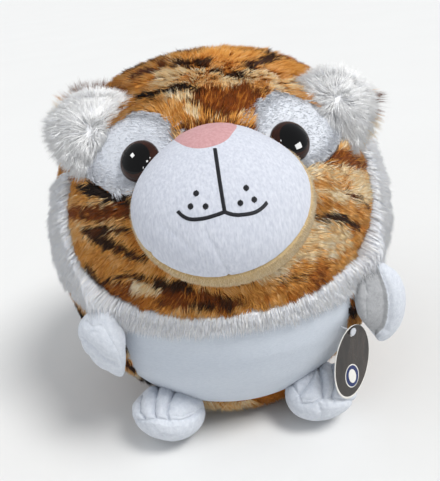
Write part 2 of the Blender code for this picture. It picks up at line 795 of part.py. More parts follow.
def make_feet():
    """Each foot has an upper with toes and a sole, sewn to the ball behind it, and tips up about that seam."""
    wide = 2 * FOOT_HALF_WIDTH
    height = math.hypot(FOOT_HALF_HEIGHT * math.cos(FOOT_PITCH), FOOT_HALF_LENGTH * math.sin(FOOT_PITCH))
    for name, (side, _) in SIDES.items():
        middle = Vector((side * FOOT_X, -FOOT_FORWARD, height + FOOT_LIFT))
        level = Matrix.Translation(middle) @ Matrix.Rotation(side * FOOT_SPLAY, 4, "Z")
        hinge = level @ Matrix.Translation((0, FOOT_HINGE_BACK, FOOT_HINGE_UP))
        to_hinge = hinge.inverted() @ level @ Matrix.Rotation(-FOOT_PITCH, 4, "X")
        meshes = {
            "space": foot_mesh(f"foot_{name}_space", LIMB_CLOTH - GAP),
            "low": box_mesh(f"foot_{name}_low", (-wide, -wide, -wide), (wide, wide, SOLE_EDGE + GAP / 2)),
            "high": box_mesh(f"foot_{name}_high", (-wide, -wide, SOLE_EDGE - GAP / 2), (wide, wide, wide)),
            "upper": foot_mesh(f"foot_{name}_upper"),
            "sole": foot_mesh(f"foot_{name}_sole"),
            "filling": foot_mesh(f"foot_{name}_filling", LIMB_CLOTH),
        }
        for mesh in meshes.values():
            mesh.transform(to_hinge)
        space, low, high = (cutter(meshes[key].name, meshes[key], hinge) for key in ("space", "low", "high"))
        axis = -hinge.col[0].to_3d()
        tools = [PLUSH_ENVELOPE]
        tools += swept(f"foot_{name}", [PLUSH_ENVELOPE], hinge.translation, axis, FOOT_TIPS)
        upper = piece(f"foot_{name}_upper", meshes["upper"], white_cloth(), hinge)
        trim(upper, low, space, *tools)
        sole = piece(f"foot_{name}_sole", meshes["sole"], white_cloth(), hinge)
        trim(sole, high, space, *tools)
        stuffing = piece(f"foot_{name}_filling", meshes["filling"], filling(), hinge)
        trim(stuffing, *tools)
        for made in (upper, sole, stuffing):
            smooth(made)


def make_ears():
    """Each ear is two round flaps sewn edge to edge, standing on the ball along a slanting seam."""
    wide = 2 * EAR_LENGTH
    seams = {"left": EAR_LEFT_SEAM_SHARES, "right": EAR_RIGHT_SEAM_SHARES}
    radius, rise = CORE_RADIUS + TIGER_PILE, CORE_RISE + TIGER_PILE
    for name, (side, _) in SIDES.items():
        ends = [Vector((radius * x, radius * y, rise * z)) + CENTRE for x, y, z in seams[name]]
        middle = (ends[0] + ends[1]) / 2
        direction = Vector((side * EAR_DIRECTION[0], EAR_DIRECTION[1], EAR_DIRECTION[2])).normalized()
        frame = frame_of(middle, side * (ends[1] - ends[0]), -direction)
        axis = frame.col[0].to_3d()
        tools = [PLUSH_ENVELOPE, RUFF_BODY]
        tools += swept(f"ear_{name}", [PLUSH_ENVELOPE, RUFF_BODY], middle, axis, EAR_FOLDS)
        halves = {"front": (-wide, GAP / 2), "back": (-GAP / 2, wide)}
        for half, (low, high) in halves.items():
            sizes = dict(
                length=EAR_LENGTH,
                half_width=EAR_HALF_WIDTH,
                half_thickness=EAR_HALF_THICKNESS,
                root=EAR_ROOT,
            )
            label = f"ear_{name}_{half}"
            look = white_fur() if half == "front" else tiger_plush()
            made = piece(label, pad_mesh(label, **sizes), look, frame)
            away = box_mesh(f"{label}_away", (-wide, low, -wide), (wide, high, wide))
            trim(made, cutter(f"{label}_away", away, frame), *tools)
            smooth(made)


def make_tail():
    """The tail is a stuffed tube that hangs down behind the ball from its own seam."""
    reach = ball_reach(TIGER_PILE, TAIL_HEIGHT) - TAIL_SINK
    frame = frame_of((0, reach, TAIL_HEIGHT), (1, 0, 0), (0, 0, 1))
    origin = frame.translation
    tools = [PLUSH_ENVELOPE] + swept("tail", [PLUSH_ENVELOPE], origin, frame.col[0].to_3d(), TAIL_LIFTS)
    sizes = dict(
        length=TAIL_LENGTH,
        half_width=TAIL_RADIUS,
        half_thickness=TAIL_RADIUS,
        root=TAIL_ROOT,
        sides=TAIL_SIDES,
        rings=TAIL_RINGS,
    )
    bag("tail", tiger_plush(), sizes, frame, tools)


def tag_frame():
    """Where the pin leaves the cloth: Z outward along the pin, and Y up."""
    out = Vector((math.sin(TAG_AZIMUTH), -math.cos(TAG_AZIMUTH), 0))
    start = out * ball_reach(TIGER_PILE, PIN_HEIGHT)
    start.z = PIN_HEIGHT
    across = Vector((0, 0, 1)).cross(out)
    return frame_of(start, across, out)


def make_tag(panel, core):
    """The oval card hangs on the pin, which ends in a paddle outside it and in a stop inside the filling."""
    frame = tag_frame()
    profile = [
        (0, PIN_REACH),
        (PIN_PADDLE_RADIUS, PIN_REACH),
        (PIN_PADDLE_RADIUS, PIN_REACH - PIN_PADDLE_THICKNESS),
        (PIN_RADIUS, PIN_REACH - PIN_PADDLE_THICKNESS),
        (PIN_RADIUS, -PIN_DEPTH),
        (PIN_STOP_RADIUS, -PIN_DEPTH),
        (PIN_STOP_RADIUS, -PIN_DEPTH - PIN_STOP_THICKNESS),
        (0, -PIN_DEPTH - PIN_STOP_THICKNESS),
    ]
    clear = material("pin_plastic", PIN_CLEAR, 0.3)
    piece("tag_pin", turned_mesh("tag_pin", profile, PIN_SIDES), clear, frame)
    passage = primitive(
        "pin_passage",
        bmesh.ops.create_cone,
        cap_ends=True,
        segments=PIN_SIDES,
        radius1=PIN_RADIUS + GAP,
        radius2=PIN_RADIUS + GAP,
        depth=2 * OVERRUN,
    )
    trim(panel, cutter("pin_passage", passage, frame))
    deep = PIN_DEPTH + PIN_STOP_THICKNESS + GAP
    pocket = primitive(
        "pin_pocket",
        bmesh.ops.create_cone,
        cap_ends=True,
        segments=PIN_SIDES,
        radius1=PIN_STOP_RADIUS + GAP,
        radius2=PIN_STOP_RADIUS + GAP,
        depth=deep,
        matrix=Matrix.Translation((0, 0, -deep / 2)),
    )
    trim(core, cutter("pin_pocket", pocket, frame))

    card_frame = frame @ Matrix.Translation((0, 0, PIN_CARD_AT))
    hole_down = TAG_HOLE_RADIUS - PIN_RADIUS - PIN_CLEARANCE
    outline = oval(TAG_HALF_WIDTH, TAG_HALF_HEIGHT, TAG_HALF_HEIGHT, TAG_POINTS)
    card_mesh = prism_mesh("hang_tag", outline, -TAG_THICKNESS / 2, TAG_THICKNESS / 2)
    card_mesh.transform(Matrix.Translation((0, TAG_HOLE_INSET - TAG_HALF_HEIGHT - hole_down, 0)))
    card = piece("hang_tag", card_mesh, material("card", CARD_GREY, 0.25), card_frame)
    hole = primitive(
        "tag_hole",
        bmesh.ops.create_cone,
        cap_ends=True,
        segments=TAG_HOLE_POINTS,
        radius1=TAG_HOLE_RADIUS,
        radius2=TAG_HOLE_RADIUS,
        depth=OVERRUN,
        matrix=Matrix.Translation((0, -hole_down, 0)),
    )
    trim(card, cutter("tag_hole", hole, card_frame))


def main():
    core_mesh = ball_mesh("body_filling", 0.0, BASE_CLOTH + GAP, CORE_SIDES)
    core = piece("body_filling", core_mesh, filling())
    panels = make_panels()
    eye_rooms = make_eyes(panels, core)
    make_muzzle(eye_rooms)
    make_ears()
    make_arms()
    make_feet()
    make_tail()
    make_tag(panels["belly"], core)


main()
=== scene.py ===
"""The looks of the ball-shaped plush tiger: its cloth, fur, eyes, embroidery and tag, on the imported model.
Metres, +Z up, the face looks along -Y. Skins and fur follow the same turned ball as the CAD's panels."""

import math
from types import SimpleNamespace

import bmesh
import bpy
import numpy as np
from mathutils import Matrix, Vector
from mathutils.bvhtree import BVHTree
from mathutils.kdtree import KDTree


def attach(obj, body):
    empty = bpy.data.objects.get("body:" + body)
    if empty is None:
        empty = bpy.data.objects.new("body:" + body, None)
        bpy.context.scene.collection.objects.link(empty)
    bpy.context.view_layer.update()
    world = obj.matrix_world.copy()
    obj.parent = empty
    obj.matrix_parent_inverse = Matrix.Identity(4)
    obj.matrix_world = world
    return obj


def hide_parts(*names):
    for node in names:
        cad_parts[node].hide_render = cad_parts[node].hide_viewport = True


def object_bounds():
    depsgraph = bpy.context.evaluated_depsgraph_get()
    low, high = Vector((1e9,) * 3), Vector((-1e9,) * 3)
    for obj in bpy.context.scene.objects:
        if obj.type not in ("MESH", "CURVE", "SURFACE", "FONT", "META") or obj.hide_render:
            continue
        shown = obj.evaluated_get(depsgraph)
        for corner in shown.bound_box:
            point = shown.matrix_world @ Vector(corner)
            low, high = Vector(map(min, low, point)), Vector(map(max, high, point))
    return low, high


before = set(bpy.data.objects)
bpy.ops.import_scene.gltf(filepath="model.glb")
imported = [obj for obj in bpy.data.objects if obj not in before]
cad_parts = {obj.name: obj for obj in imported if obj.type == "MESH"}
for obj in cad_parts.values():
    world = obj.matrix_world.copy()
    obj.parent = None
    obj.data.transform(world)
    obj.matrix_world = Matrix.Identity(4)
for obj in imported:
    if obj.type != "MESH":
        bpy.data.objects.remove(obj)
CAD_BOX = [list(corner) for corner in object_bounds()]

# The ball, as in the CAD: its radius, its heights above and below its middle, and its middle's height.
RADIUS = 0.1325
RISE = 0.1475
DROP = 0.1470
MIDDLE = 0.1420
CENTRE = np.array((0, 0, MIDDLE))
# The power of the ball's outline above its middle. Below, it is an ellipse.
CROWN = 2.3
# How far each pile stands out from the filling.
TIGER_PILE = 0.0075
BELLY_PILE = 0.0040
PATCH_PILE = 0.0065
# The panels, as in the CAD. An oval has a half-width, a rise and a drop, and the fullness of its shoulders.
BASE_SEAM = 0.0230
FACE_TIP = math.radians(34)
FACE_SIZE = (0.1120, 0.0800, 0.0755)
FACE_FULLNESS = (0.80, 1.0)
RUFF_SIZE = (0.1330, 0.0960, 0.0835)
RUFF_FULLNESS = (1.0, 0.90)
RUFF_TOP = 0.0440
PATCH_AT = (0.0590, 0.0430)
PATCH_SIZE = (0.0380, 0.0300)
PATCH_TURN = math.radians(30)
EYE_AT = (0.0500, 0.0310)
EYE_RADIUS = 0.0145
EYE_DOME = 0.0100
EYE_SEAT = PATCH_PILE - 0.0025
BELLY_HALF = 0.0940
BELLY_CORNER = 0.0450
ARM_HEIGHT = MIDDLE + 0.0010
SIDES = {"left": -1, "right": 1}

SIDEWAYS = np.array((1.0, 0.0, 0.0))
UPWARD = np.array((0.0, math.sin(FACE_TIP), math.cos(FACE_TIP)))
FORWARD = np.array((0.0, -math.cos(FACE_TIP), math.sin(FACE_TIP)))


# Numbers on arrays of points


def unit(v):
    return v / np.maximum(np.linalg.norm(v, axis=-1, keepdims=True), 1e-12)


def stacked(*parts):
    """Points from their coordinates."""
    return np.stack(np.broadcast_arrays(*parts), axis=-1)


def smoothstep(low, high, v):
    t = np.clip((v - low) / (high - low), 0, 1)
    return t * t * (3 - 2 * t)


def fade(away, width=1.0):
    """A soft bell: 1 where away is 0, and nearly 0 two widths out."""
    return np.exp(-((away / width) ** 2))


def turned(x, y, angle):
    c, s = math.cos(angle), math.sin(angle)
    return c * x - s * y, s * x + c * y


def circle(count):
    return np.linspace(0, math.tau, count, endpoint=False)


def disc(rows, columns, power=1.0):
    """A disc's grid: shares of the way out, and turns. A power below 1 gathers its rows at the edge."""
    return np.meshgrid(np.linspace(0, 1, rows) ** power, circle(columns), indexing="ij")


def polar(angle, turn):
    """Unit directions at an angle from the +Z axis and a turn about it."""
    return stacked(np.sin(angle) * np.cos(turn), np.sin(angle) * np.sin(turn), np.cos(angle))


def bisect(low, high, steps, inside):
    """Halves the way from low, where inside holds, to high, where it doesn't: both sides of the border."""
    for _ in range(steps):
        middle = (low + high) / 2
        within = inside(middle)
        low, high = np.where(within, middle, low), np.where(within, high, middle)
    return low, high


def noise(points, scale, seed=0):
    """Smooth noise from -1 to 1, the same on each run: scrambled numbers at the corners of cubes, blended."""
    p = np.asarray(points) / scale
    cell = np.floor(p).astype(np.int64)
    f = p - cell
    f = f * f * (3 - 2 * f)
    total = np.zeros(len(p))
    for corner in range(8):
        step = np.array([(corner >> k) & 1 for k in range(3)])
        x, y, z = (cell + step).T
        h = (x * 73856093) ^ (y * 19349663) ^ (z * 83492791) ^ (seed * 7919 + 12345)
        h = (h * 2654435761) & 0xFFFFFFFF
        h = ((h ^ (h >> 15)) * 2246822519) & 0xFFFFFFFF
        value = ((h >> 8) & 0xFFFF) / 32767.5 - 1
        total += value * np.prod(np.where(step, f, 1 - f), axis=1)
    return total


def noise_vector(points, scale, seed):
    return stacked(*(noise(points, scale, seed + k) for k in (0, 101, 202)))


def halves(above, height):
    """The ball's half-height and the power of its outline, above or below its middle."""
    return np.where(above > 0, RISE, DROP) + height, np.where(above > 0, CROWN, 2.0)


def ball_reach(height, z):
    """The ball's radius at z above the floor, at a height outside its filling."""
    half, power = halves(z - MIDDLE, height)
    share = np.minimum(1.0, np.abs(z - MIDDLE) / half)
    return (RADIUS + height) * (1 - share**power) ** (1 / power)


def ball_point(direction, height):
    """Where directions from the ball's middle meet the ball, cut flat at the floor."""
    z = direction[:, 2]
    half, power = halves(z, height)
    across = np.hypot(direction[:, 0], direction[:, 1]) / (RADIUS + height)
    reach = (across**power + (np.abs(z) / half) ** power) ** (-1 / power)
    down = np.where(z < -1e-6, -MIDDLE / np.minimum(z, -1e-6), 1e9)
    return CENTRE + direction * np.minimum(reach, down)[:, None]


def ball_normal(points, height):
    """The outward normals of the ball at points on it."""
    above = points[:, 2] - MIDDLE
    half, power = halves(above, height)
    radius = RADIUS + height
    across = np.maximum(np.hypot(points[:, 0], points[:, 1]), 1e-9)
    slope = (across / radius) ** (power - 1) / radius
    rise = np.copysign((np.abs(above) / half) ** (power - 1) / half, above)
    made = unit(stacked(slope * points[:, 0] / across, slope * points[:, 1] / across, rise))
    made[points[:, 2] < 1e-4] = (0, 0, -1)
    return made


def inside_ball(points, height):
    return np.hypot(points[..., 0], points[..., 1]) < ball_reach(height, points[..., 2])


def ball_side(side, azimuth, height, out=0.0):
    """A point on the ball's side, a distance out from its pile, and the level direction that it faces."""
    azimuth = math.radians(azimuth)
    facing = Vector((side * math.sin(azimuth), -math.cos(azimuth), 0))
    made = facing * (float(ball_reach(TIGER_PILE, np.array(height))) + out)
    made.z = height
    return made, facing


def face_coordinates(points):
    """x, up and forward of points in the face's plane."""
    q = points - CENTRE
    return q[..., 0], q @ UPWARD, q @ FORWARD


def from_face(x, up, forward):
    """Points from their x, up and forward in the face's plane."""
    x, up, forward = (np.asarray(v)[..., None] for v in (x, up, forward))
    return CENTRE + x * SIDEWAYS + up * UPWARD + forward * FORWARD


def on_ball(x, up, height):
    """Where lines along the face's axis from (x, up) across it meet the front of the ball."""
    x, up, height = np.broadcast_arrays(x, up, height)
    low, high = bisect(
        np.zeros(x.shape),
        np.full(x.shape, 0.29),
        34,
        lambda forward: inside_ball(from_face(x, up, forward), height),
    )
    return from_face(x, up, (low + high) / 2)


def oval_half(up, size, fullness):
    return np.where(up > 0, size[1], size[2]), np.where(up > 0, fullness[0], fullness[1])


def oval_share(x, up, size, fullness):
    """How far out a point is in an oval: 1 on its outline. Fullness squares its upper or lower shoulders."""
    height, full = oval_half(up, size, fullness)
    return ((np.abs(x) / size[0]) ** (2 / full) + (np.abs(up) / height) ** (2 / full)) ** (full / 2)


def oval_rim(turn, size, fullness):
    across, up = np.cos(turn), np.sin(turn)
    height, full = oval_half(up, size, fullness)
    return size[0] * np.copysign(np.abs(across) ** full, across), height * np.copysign(np.abs(up) ** full, up)


def face_share(x, up):
    return oval_share(x, up, FACE_SIZE, FACE_FULLNESS)


def ruff_share(x, up):
    return oval_share(x, up, RUFF_SIZE, RUFF_FULLNESS)


def patch_share(x, up, side):
    x, y = turned(x - side * PATCH_AT[0], up - PATCH_AT[1], -side * PATCH_TURN)
    return np.hypot(x / PATCH_SIZE[0], y / PATCH_SIZE[1])


def belly_low(x):
    """The height of the belly's lower seam at x."""
    over = np.clip((np.abs(x) - (BELLY_HALF - BELLY_CORNER)) / BELLY_CORNER, 0, 1)
    arc = BASE_SEAM - 0.008 + BELLY_CORNER * (1 - np.sqrt(1 - over**2))
    return np.maximum(BASE_SEAM, arc)


def regions(points):
    """Which panel of the ball each point is on: face, ruff, belly, base or back."""
    x, up, forward = face_coordinates(points)
    front = forward > 0
    face = front & (face_share(x, up) < 1)
    ruff = front & ~face & (ruff_share(x, up) < 1) & (up < RUFF_TOP)
    base = ~face & ~ruff & (points[:, 2] < BASE_SEAM)
    belly = (points[:, 1] < 0) & (np.abs(x) < BELLY_HALF) & (points[:, 2] > belly_low(x))
    belly &= ~face & ~ruff & ~base & (up < 0)
    return {"face": face, "ruff": ruff, "belly": belly, "base": base, "back": ~(face | ruff | belly | base)}


# The camera, at the photograph's angle. The photograph is 440 x 481 pixels.

PHOTO_HEIGHT = 481
IMAGE_MIDDLE = (220.0, 240.5)
FOCAL_PIXELS = 606.0
SENSOR = 36
AZIMUTH = math.radians(-1.5)
ELEVATION = math.radians(24.0)
ROLL = math.radians(7.0)
# The camera stands at a distance from its target, which falls on a pixel.
TARGET = (0, 0, 0.144)
TARGET_PIXEL = (221.0, 230.5)
DISTANCE = 0.5365


def camera_axes():
    level = math.cos(ELEVATION)
    ahead = -np.array((math.sin(AZIMUTH) * level, -math.cos(AZIMUTH) * level, math.sin(ELEVATION)))
    right = unit(np.cross(ahead, (0, 0, 1)))
    up = np.cross(right, ahead)
    c, s = math.cos(ROLL), math.sin(ROLL)
    return c * right - s * up, s * right + c * up, ahead


def pixel_direction(x, y):
    """A pixel's direction, by right, up and ahead."""
    return np.array(((x - IMAGE_MIDDLE[0]) / FOCAL_PIXELS, (IMAGE_MIDDLE[1] - y) / FOCAL_PIXELS, 1.0))


def camera_place():
    """The camera's position and its axes, turned slightly so that the target falls on its pixel."""
    right, up, ahead = camera_axes()
    aim = Vector(pixel_direction(*TARGET_PIXEL)).normalized()
    turn = np.array(aim.rotation_difference(Vector((0, 0, 1))).to_matrix())
    return np.array(TARGET) - DISTANCE * ahead, stacked(right, up, ahead) @ turn


EYE_POINT, EYE_AXES = camera_place()


def to_pixels(points):
    right, up, ahead = ((points - EYE_POINT) @ EYE_AXES).T
    x, y = IMAGE_MIDDLE
    return stacked(x + FOCAL_PIXELS * right / ahead, y - FOCAL_PIXELS * up / ahead)


def pixel_hit(tree, x, y):
    """The place and the normal of a surface where a pixel shows it."""
    ray = Vector(EYE_AXES @ unit(pixel_direction(x, y)))
    return tree.ray_cast(Vector(EYE_POINT), ray)[:2]


def add_object(name, data):
    made = bpy.data.objects.new(name, data)
    bpy.context.scene.collection.objects.link(made)
    return made


def add_camera():
    data = bpy.data.cameras.new("camera")
    data.sensor_width = SENSOR
    data.sensor_fit = "AUTO"
    data.lens = FOCAL_PIXELS / PHOTO_HEIGHT * SENSOR
    made = add_object("camera", data)
    axes = EYE_AXES * (1, 1, -1)
    made.matrix_world = Matrix.Translation(EYE_POINT) @ Matrix(axes.tolist()).to_4x4()
    bpy.context.scene.camera = made


# Materials

# The share of the fine grain in a cloth's colour, and the height of its nap in metres.
GRAIN_SHARE = 0.45
NAP_HEIGHT = 0.0006


def linear(code):
    """A colour of the screen, as six hexadecimal digits, as linear numbers."""
    values = [int(code[i : i + 2], 16) / 255 for i in (0, 2, 4)]
    return [v / 12.92 if v < 0.04045 else ((v + 0.055) / 1.055) ** 2.4 for v in values]


def shader_of(look):
    return look.node_tree.nodes["Principled BSDF"]


def plain(name, code, roughness, sheen, specular):
    """A Principled material of one colour."""
    made = bpy.data.materials.new(name)
    made.use_nodes = True
    made.diffuse_color = (*linear(code), 1)
    inputs = shader_of(made).inputs
    inputs["Base Color"].default_value = (*linear(code), 1)
    inputs["Roughness"].default_value = roughness
    inputs["Specular IOR Level"].default_value = specular
    inputs["Sheen Weight"].default_value = sheen
    return made


def add_node(tree, kind, inputs=(), **settings):
    """A new node. Each of its inputs is given a value, or the output of a node, which is linked to it."""
    made = tree.nodes.new("ShaderNode" + kind)
    for name, value in settings.items():
        setattr(made, name, value)
    for name, value in dict(inputs).items():
        if isinstance(value, bpy.types.NodeSocket):
            tree.links.new(value, made.inputs[name])
        else:
            made.inputs[name].default_value = value
    return made


def add_ramp(tree, factor, *stops):
    """A colour between two stops, each a position and a colour, by a factor."""
    made = add_node(tree, "ValToRGB", {"Fac": factor})
    for element, (position, code) in zip(made.color_ramp.elements, stops):
        element.position = position
        element.color = (*linear(code), 1)
    return made.outputs["Color"]


def cloth(name, code, other, grain, bump, sheen=0.25, patch=18.0, roughness=0.85, stretch=(1, 1, 1)):
    """A short pile or woven cloth: two close colours in soft patches, and a fine nap in its bump."""
    made = plain(name, code, roughness, sheen, 0.25)
    tree = made.node_tree
    where = add_node(tree, "TexCoord").outputs["Object"]
    scaled = add_node(tree, "Mapping", {"Scale": stretch, "Vector": where}).outputs["Vector"]
    large = add_node(tree, "TexNoise", {"Scale": patch, "Detail": 4, "Vector": scaled}).outputs["Fac"]
    fine = add_node(tree, "TexNoise", {"Scale": grain, "Detail": 3, "Vector": scaled}).outputs["Fac"]
    both = add_node(tree, "Math", {0: fine, 1: GRAIN_SHARE, 2: large}, operation="MULTIPLY_ADD")
    colour = add_ramp(tree, both.outputs["Value"], (0.48, other), (0.95, code))
    nap = add_node(tree, "Bump", {"Strength": bump, "Distance": NAP_HEIGHT, "Height": fine})
    tree.links.new(colour, shader_of(made).inputs["Base Color"])
    tree.links.new(nap.outputs["Normal"], shader_of(made).inputs["Normal"])
    return made


def tones(name, codes, roughness, sheen, specular):
    return [plain(f"{name}_tone_{i}", code, roughness, sheen, specular) for i, code in enumerate(codes)]


# The tiger's tones run from black-brown to pale cream.
TIGER_CODES = ("1E120A", "38200E", "643410", "84410F", "C2782D", "E0A04E", "ECB875", "F3D8A8", "F8EACF")
# Each pile's slot, and the looks that its fibres have.
PILES = {
    "tiger": ("tiger_plush", tones("tiger", TIGER_CODES, 0.55, 0, 0.2)),
    "white": ("white_fur", tones("white", ("F6F7FB", "EDF0F6", "FFFFFF", "F3F1EF"), 0.8, 0.35, 0.08)),
    "patch": ("white_fur", tones("patch", ("E1E4EA", "DCDFE6", "E7E9EE", "DFE0E4"), 0.8, 0, 0.08)),
    "beige": ("beige_plush", tones("beige", ("DCC396", "CFB282", "E7D2AC"), 0.7, 0.1, 0.3)),
}
TIGER_CLOTH = cloth("tiger_backing", "A86A2C", "70401A", 300, 0.3, 0)
WHITE_BACKING = cloth("white_backing", "FAFAFC", "EEF0F4", 500, 0.3, 0)
PATCH_BACKING = cloth("patch_backing", "D6D9DF", "C9CDD5", 500, 0.3, 0)
BELLY_CLOTH = cloth("belly_velvet", "CFD5DD", "BAC2CD", 900, 0.7, patch=14, stretch=(0.4, 0.4, 1))
MUZZLE_CLOTH = cloth("muzzle_velvet", "D0D3DC", "B9BDC9", 520, 1.0, 0.1, patch=700, stretch=(1, 1, 0.35))
LIMB_CLOTH = cloth("limb_velvet", "D6DAE1", "C5CAD3", 700, 0.8, 0.1, patch=300)
# The palm's cloth is the limbs' velvet made greyer: painted shade for the palm's hollow, which faces away
# from the light.
PALM_SHADE_CLOTH = cloth("palm_velvet_painted_shade", "AFB0B2", "9D9EA1", 700, 0.8, 0.1, patch=300)
BAND_CLOTH = cloth("band_plush", "C4AA7C", "AF9263", 800, 0.5)
NOSE_CLOTH = cloth("nose_velvet", "C99C9D", "BA898B", 520, 0.9, 0.1, patch=500, stretch=(1, 1, 0.35))
THREAD = cloth("thread", "0D0E14", "191A22", 2500, 0.3, 0, 300, 0.5)


# Meshes


def add_piece(name, mesh, materials, body, place=None):
    for look in materials:
        mesh.materials.append(look)
    made = add_object(name, mesh)
    if place is not None:
        made.matrix_world = place
    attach(made, body)
    return made


def set_looks(mesh, looks):
    """Gives each face of a mesh the number of its material."""
    mesh.polygons.foreach_set("material_index", looks.astype(np.int32))


def face_mesh(name, points, faces):
    """A smooth mesh from an array of points and arrays of faces of one size each."""
    made = bpy.data.meshes.new(name)
    made.vertices.add(len(points))
    made.vertices.foreach_set("co", np.asarray(points, np.float32).ravel())
    sizes = np.concatenate([np.full(len(f), f.shape[1]) for f in faces])
    loops = np.concatenate([f.ravel() for f in faces]).astype(np.int32)
    made.loops.add(len(loops))
    made.loops.foreach_set("vertex_index", loops)
    made.polygons.add(len(sizes))
    made.polygons.foreach_set("loop_start", np.concatenate([[0], np.cumsum(sizes)[:-1]]).astype(np.int32))
    made.update(calc_edges=True)
    made.shade_smooth()
    return made


def tidy(mesh, weld=2e-6):
    """Welds what meets, if a distance is given for that, and turns the faces outward."""
    work = bmesh.new()
    work.from_mesh(mesh)
    if weld:
        bmesh.ops.remove_doubles(work, verts=work.verts, dist=weld)
        bmesh.ops.dissolve_degenerate(work, edges=work.edges, dist=weld)
    bmesh.ops.recalc_face_normals(work, faces=work.faces)
    work.to_mesh(mesh)
    work.free()
    mesh.shade_smooth()
    return mesh


def grid_faces(rows, columns, around, start=0):
    """Quads over a grid of rows and columns. With around, the last column joins the first."""
    i, j = np.meshgrid(np.arange(rows - 1), np.arange(columns if around else columns - 1), indexing="ij")
    k = (j + 1) % columns
    quads = stacked(i * columns + j, i * columns + k, (i + 1) * columns + k, (i + 1) * columns + j)
    return quads.reshape(-1, 4) + start


def add_skin(name, outer, inner, around, look):
    """A closed cloth on the body, from an outer and an inner grid of points that share their borders."""
    rows, columns = outer.shape[:2]
    points = np.concatenate([outer.reshape(-1, 3), inner.reshape(-1, 3)])
    faces = grid_faces(rows, columns, around)
    under = grid_faces(rows, columns, around, rows * columns)[:, ::-1]
    mesh = tidy(face_mesh(name, points, [np.concatenate([faces, under])]))
    return add_piece(name, mesh, [look], "body")


def tube_mesh(name, rings):
    """A closed tube from rings of points, its ends drawn to points."""
    rows, columns = rings.shape[:2]
    count = rows * columns
    points = np.concatenate([rings.reshape(-1, 3), rings[:1].mean(axis=1), rings[-1:].mean(axis=1)])
    j = np.arange(columns)
    k = (j + 1) % columns
    last = count - columns
    caps = np.concatenate([stacked(count, k, j), stacked(count + 1, j + last, k + last)])
    return tidy(face_mesh(name, points, [grid_faces(rows, columns, True), caps]))


def nearest(points, others):
    """For each point the number of the nearest of the others."""
    tree = KDTree(len(others))
    for i, other in enumerate(others):
        tree.insert(other, i)
    tree.balance()
    return np.array([tree.find(point)[1] for point in points])


# Fur

# The most faces that one piece of fur has, how deep its fibres are rooted, and where each fibre bends.
MOST_FACES = 190000
ROOT_DEPTH = 0.0012
BEND = 0.5


def along_surface(nap, normals):
    """The nap's unit direction along the surface."""
    return unit(nap - (nap * normals).sum(1, keepdims=True) * normals)


def spike_faces(bent):
    """The triangles of a closed spike: three corners at the root, three at the bend if bent, and a tip."""
    faces = [(2, 1, 0)]
    if bent:
        for k in range(3):
            n = (k + 1) % 3
            faces += [(k, n, 3 + n), (k, 3 + n, 3 + k)]
    last = 3 if bent else 0
    return np.array(faces + [(last + k, last + (k + 1) % 3, last + 3) for k in range(3)])


def fur(
    name, body, pile, roots, normals, nap, looks, length, width, rise, seed,
    clump=0.5, clumps=0.04, bent=True, spread=0.22, wild=0.06,
):
    """Fibres as thin closed spikes: each leaves its root at the first rise and lies down to the second.
    A share of them, the clumps, draw the tips around them together. A wild share stands up."""
    rng = np.random.default_rng(seed)
    count = len(roots)
    flow = along_surface(nap + spread * rng.normal(size=(count, 3)), normals)
    length = (np.broadcast_to(length, count) * rng.uniform(0.75, 1.15, count))[:, None]
    steep = np.radians(rise[0] + rng.normal(0, 7, count))[:, None]
    flat = np.radians(rise[1] + rng.normal(0, 7, count) + 22 * (rng.uniform(size=count) < wild))[:, None]
    first = np.sin(steep) * normals + np.cos(steep) * flow
    second = np.sin(flat) * normals + np.cos(flat) * flow
    base = roots - ROOT_DEPTH * normals
    half = base + first * length * BEND
    tips = half + second * length * (1 - BEND)

    chosen = rng.choice(count, max(1, int(count * clumps)), replace=False)
    owner = chosen[nearest(roots, roots[chosen])]
    pull = (clump * rng.uniform(0.5, 1.2, count))[:, None]
    tips = tips + pull * (tips[owner] - tips)
    half = half + 0.35 * pull * (half[owner] - half)

    across = unit(np.cross(first, normals + 0.3 * rng.normal(size=(count, 3))))
    other = unit(np.cross(first, across))
    wide = width * rng.uniform(0.8, 1.2, (count, 1)) / 2
    for part, above in ((base, 0.0004), (half, 0.0004), (tips, 0.0008)):
        part[:, 2] = np.maximum(part[:, 2], above + wide[:, 0])
    turns = [math.tau * k / 3 for k in range(3)]
    corners = [math.cos(turn) * across + math.sin(turn) * other for turn in turns]
    rings = [base + wide * corner for corner in corners]
    if bent:
        rings += [half + 0.8 * wide * corner for corner in corners]
    points = np.stack(rings + [tips], axis=1)

    slot, materials = PILES[pile]
    faces = spike_faces(bent)
    parts = np.array_split(np.arange(count), math.ceil(count * len(faces) / MOST_FACES))
    for i, rows in enumerate(parts):
        starts = np.arange(len(rows)) * points.shape[1]
        triangles = (faces[None] + starts[:, None, None]).reshape(-1, 3)
        label = name if len(parts) == 1 else f"{name}_{i + 1}"
        mesh = face_mesh(label, points[rows].reshape(-1, 3), [triangles])
        set_looks(mesh, np.repeat(looks[rows], len(faces)))
        add_piece(label, mesh, materials, body)


def scatter_ball(count, seed):
    """Evenly spread directions with a little jitter."""
    rng = np.random.default_rng(seed)
    i = np.arange(count) + 0.5
    z = 1 - 2 * i / count
    turn = math.pi * (1 + math.sqrt(5)) * i
    flat = np.sqrt(1 - z * z)
    made = stacked(flat * np.cos(turn), flat * np.sin(turn), z)
    return unit(made + rng.normal(0, 0.9 / math.sqrt(count), (count, 3)))


def white_looks(count, seed):
    return np.random.default_rng(seed).choice(4, count, p=(0.4, 0.25, 0.25, 0.1))
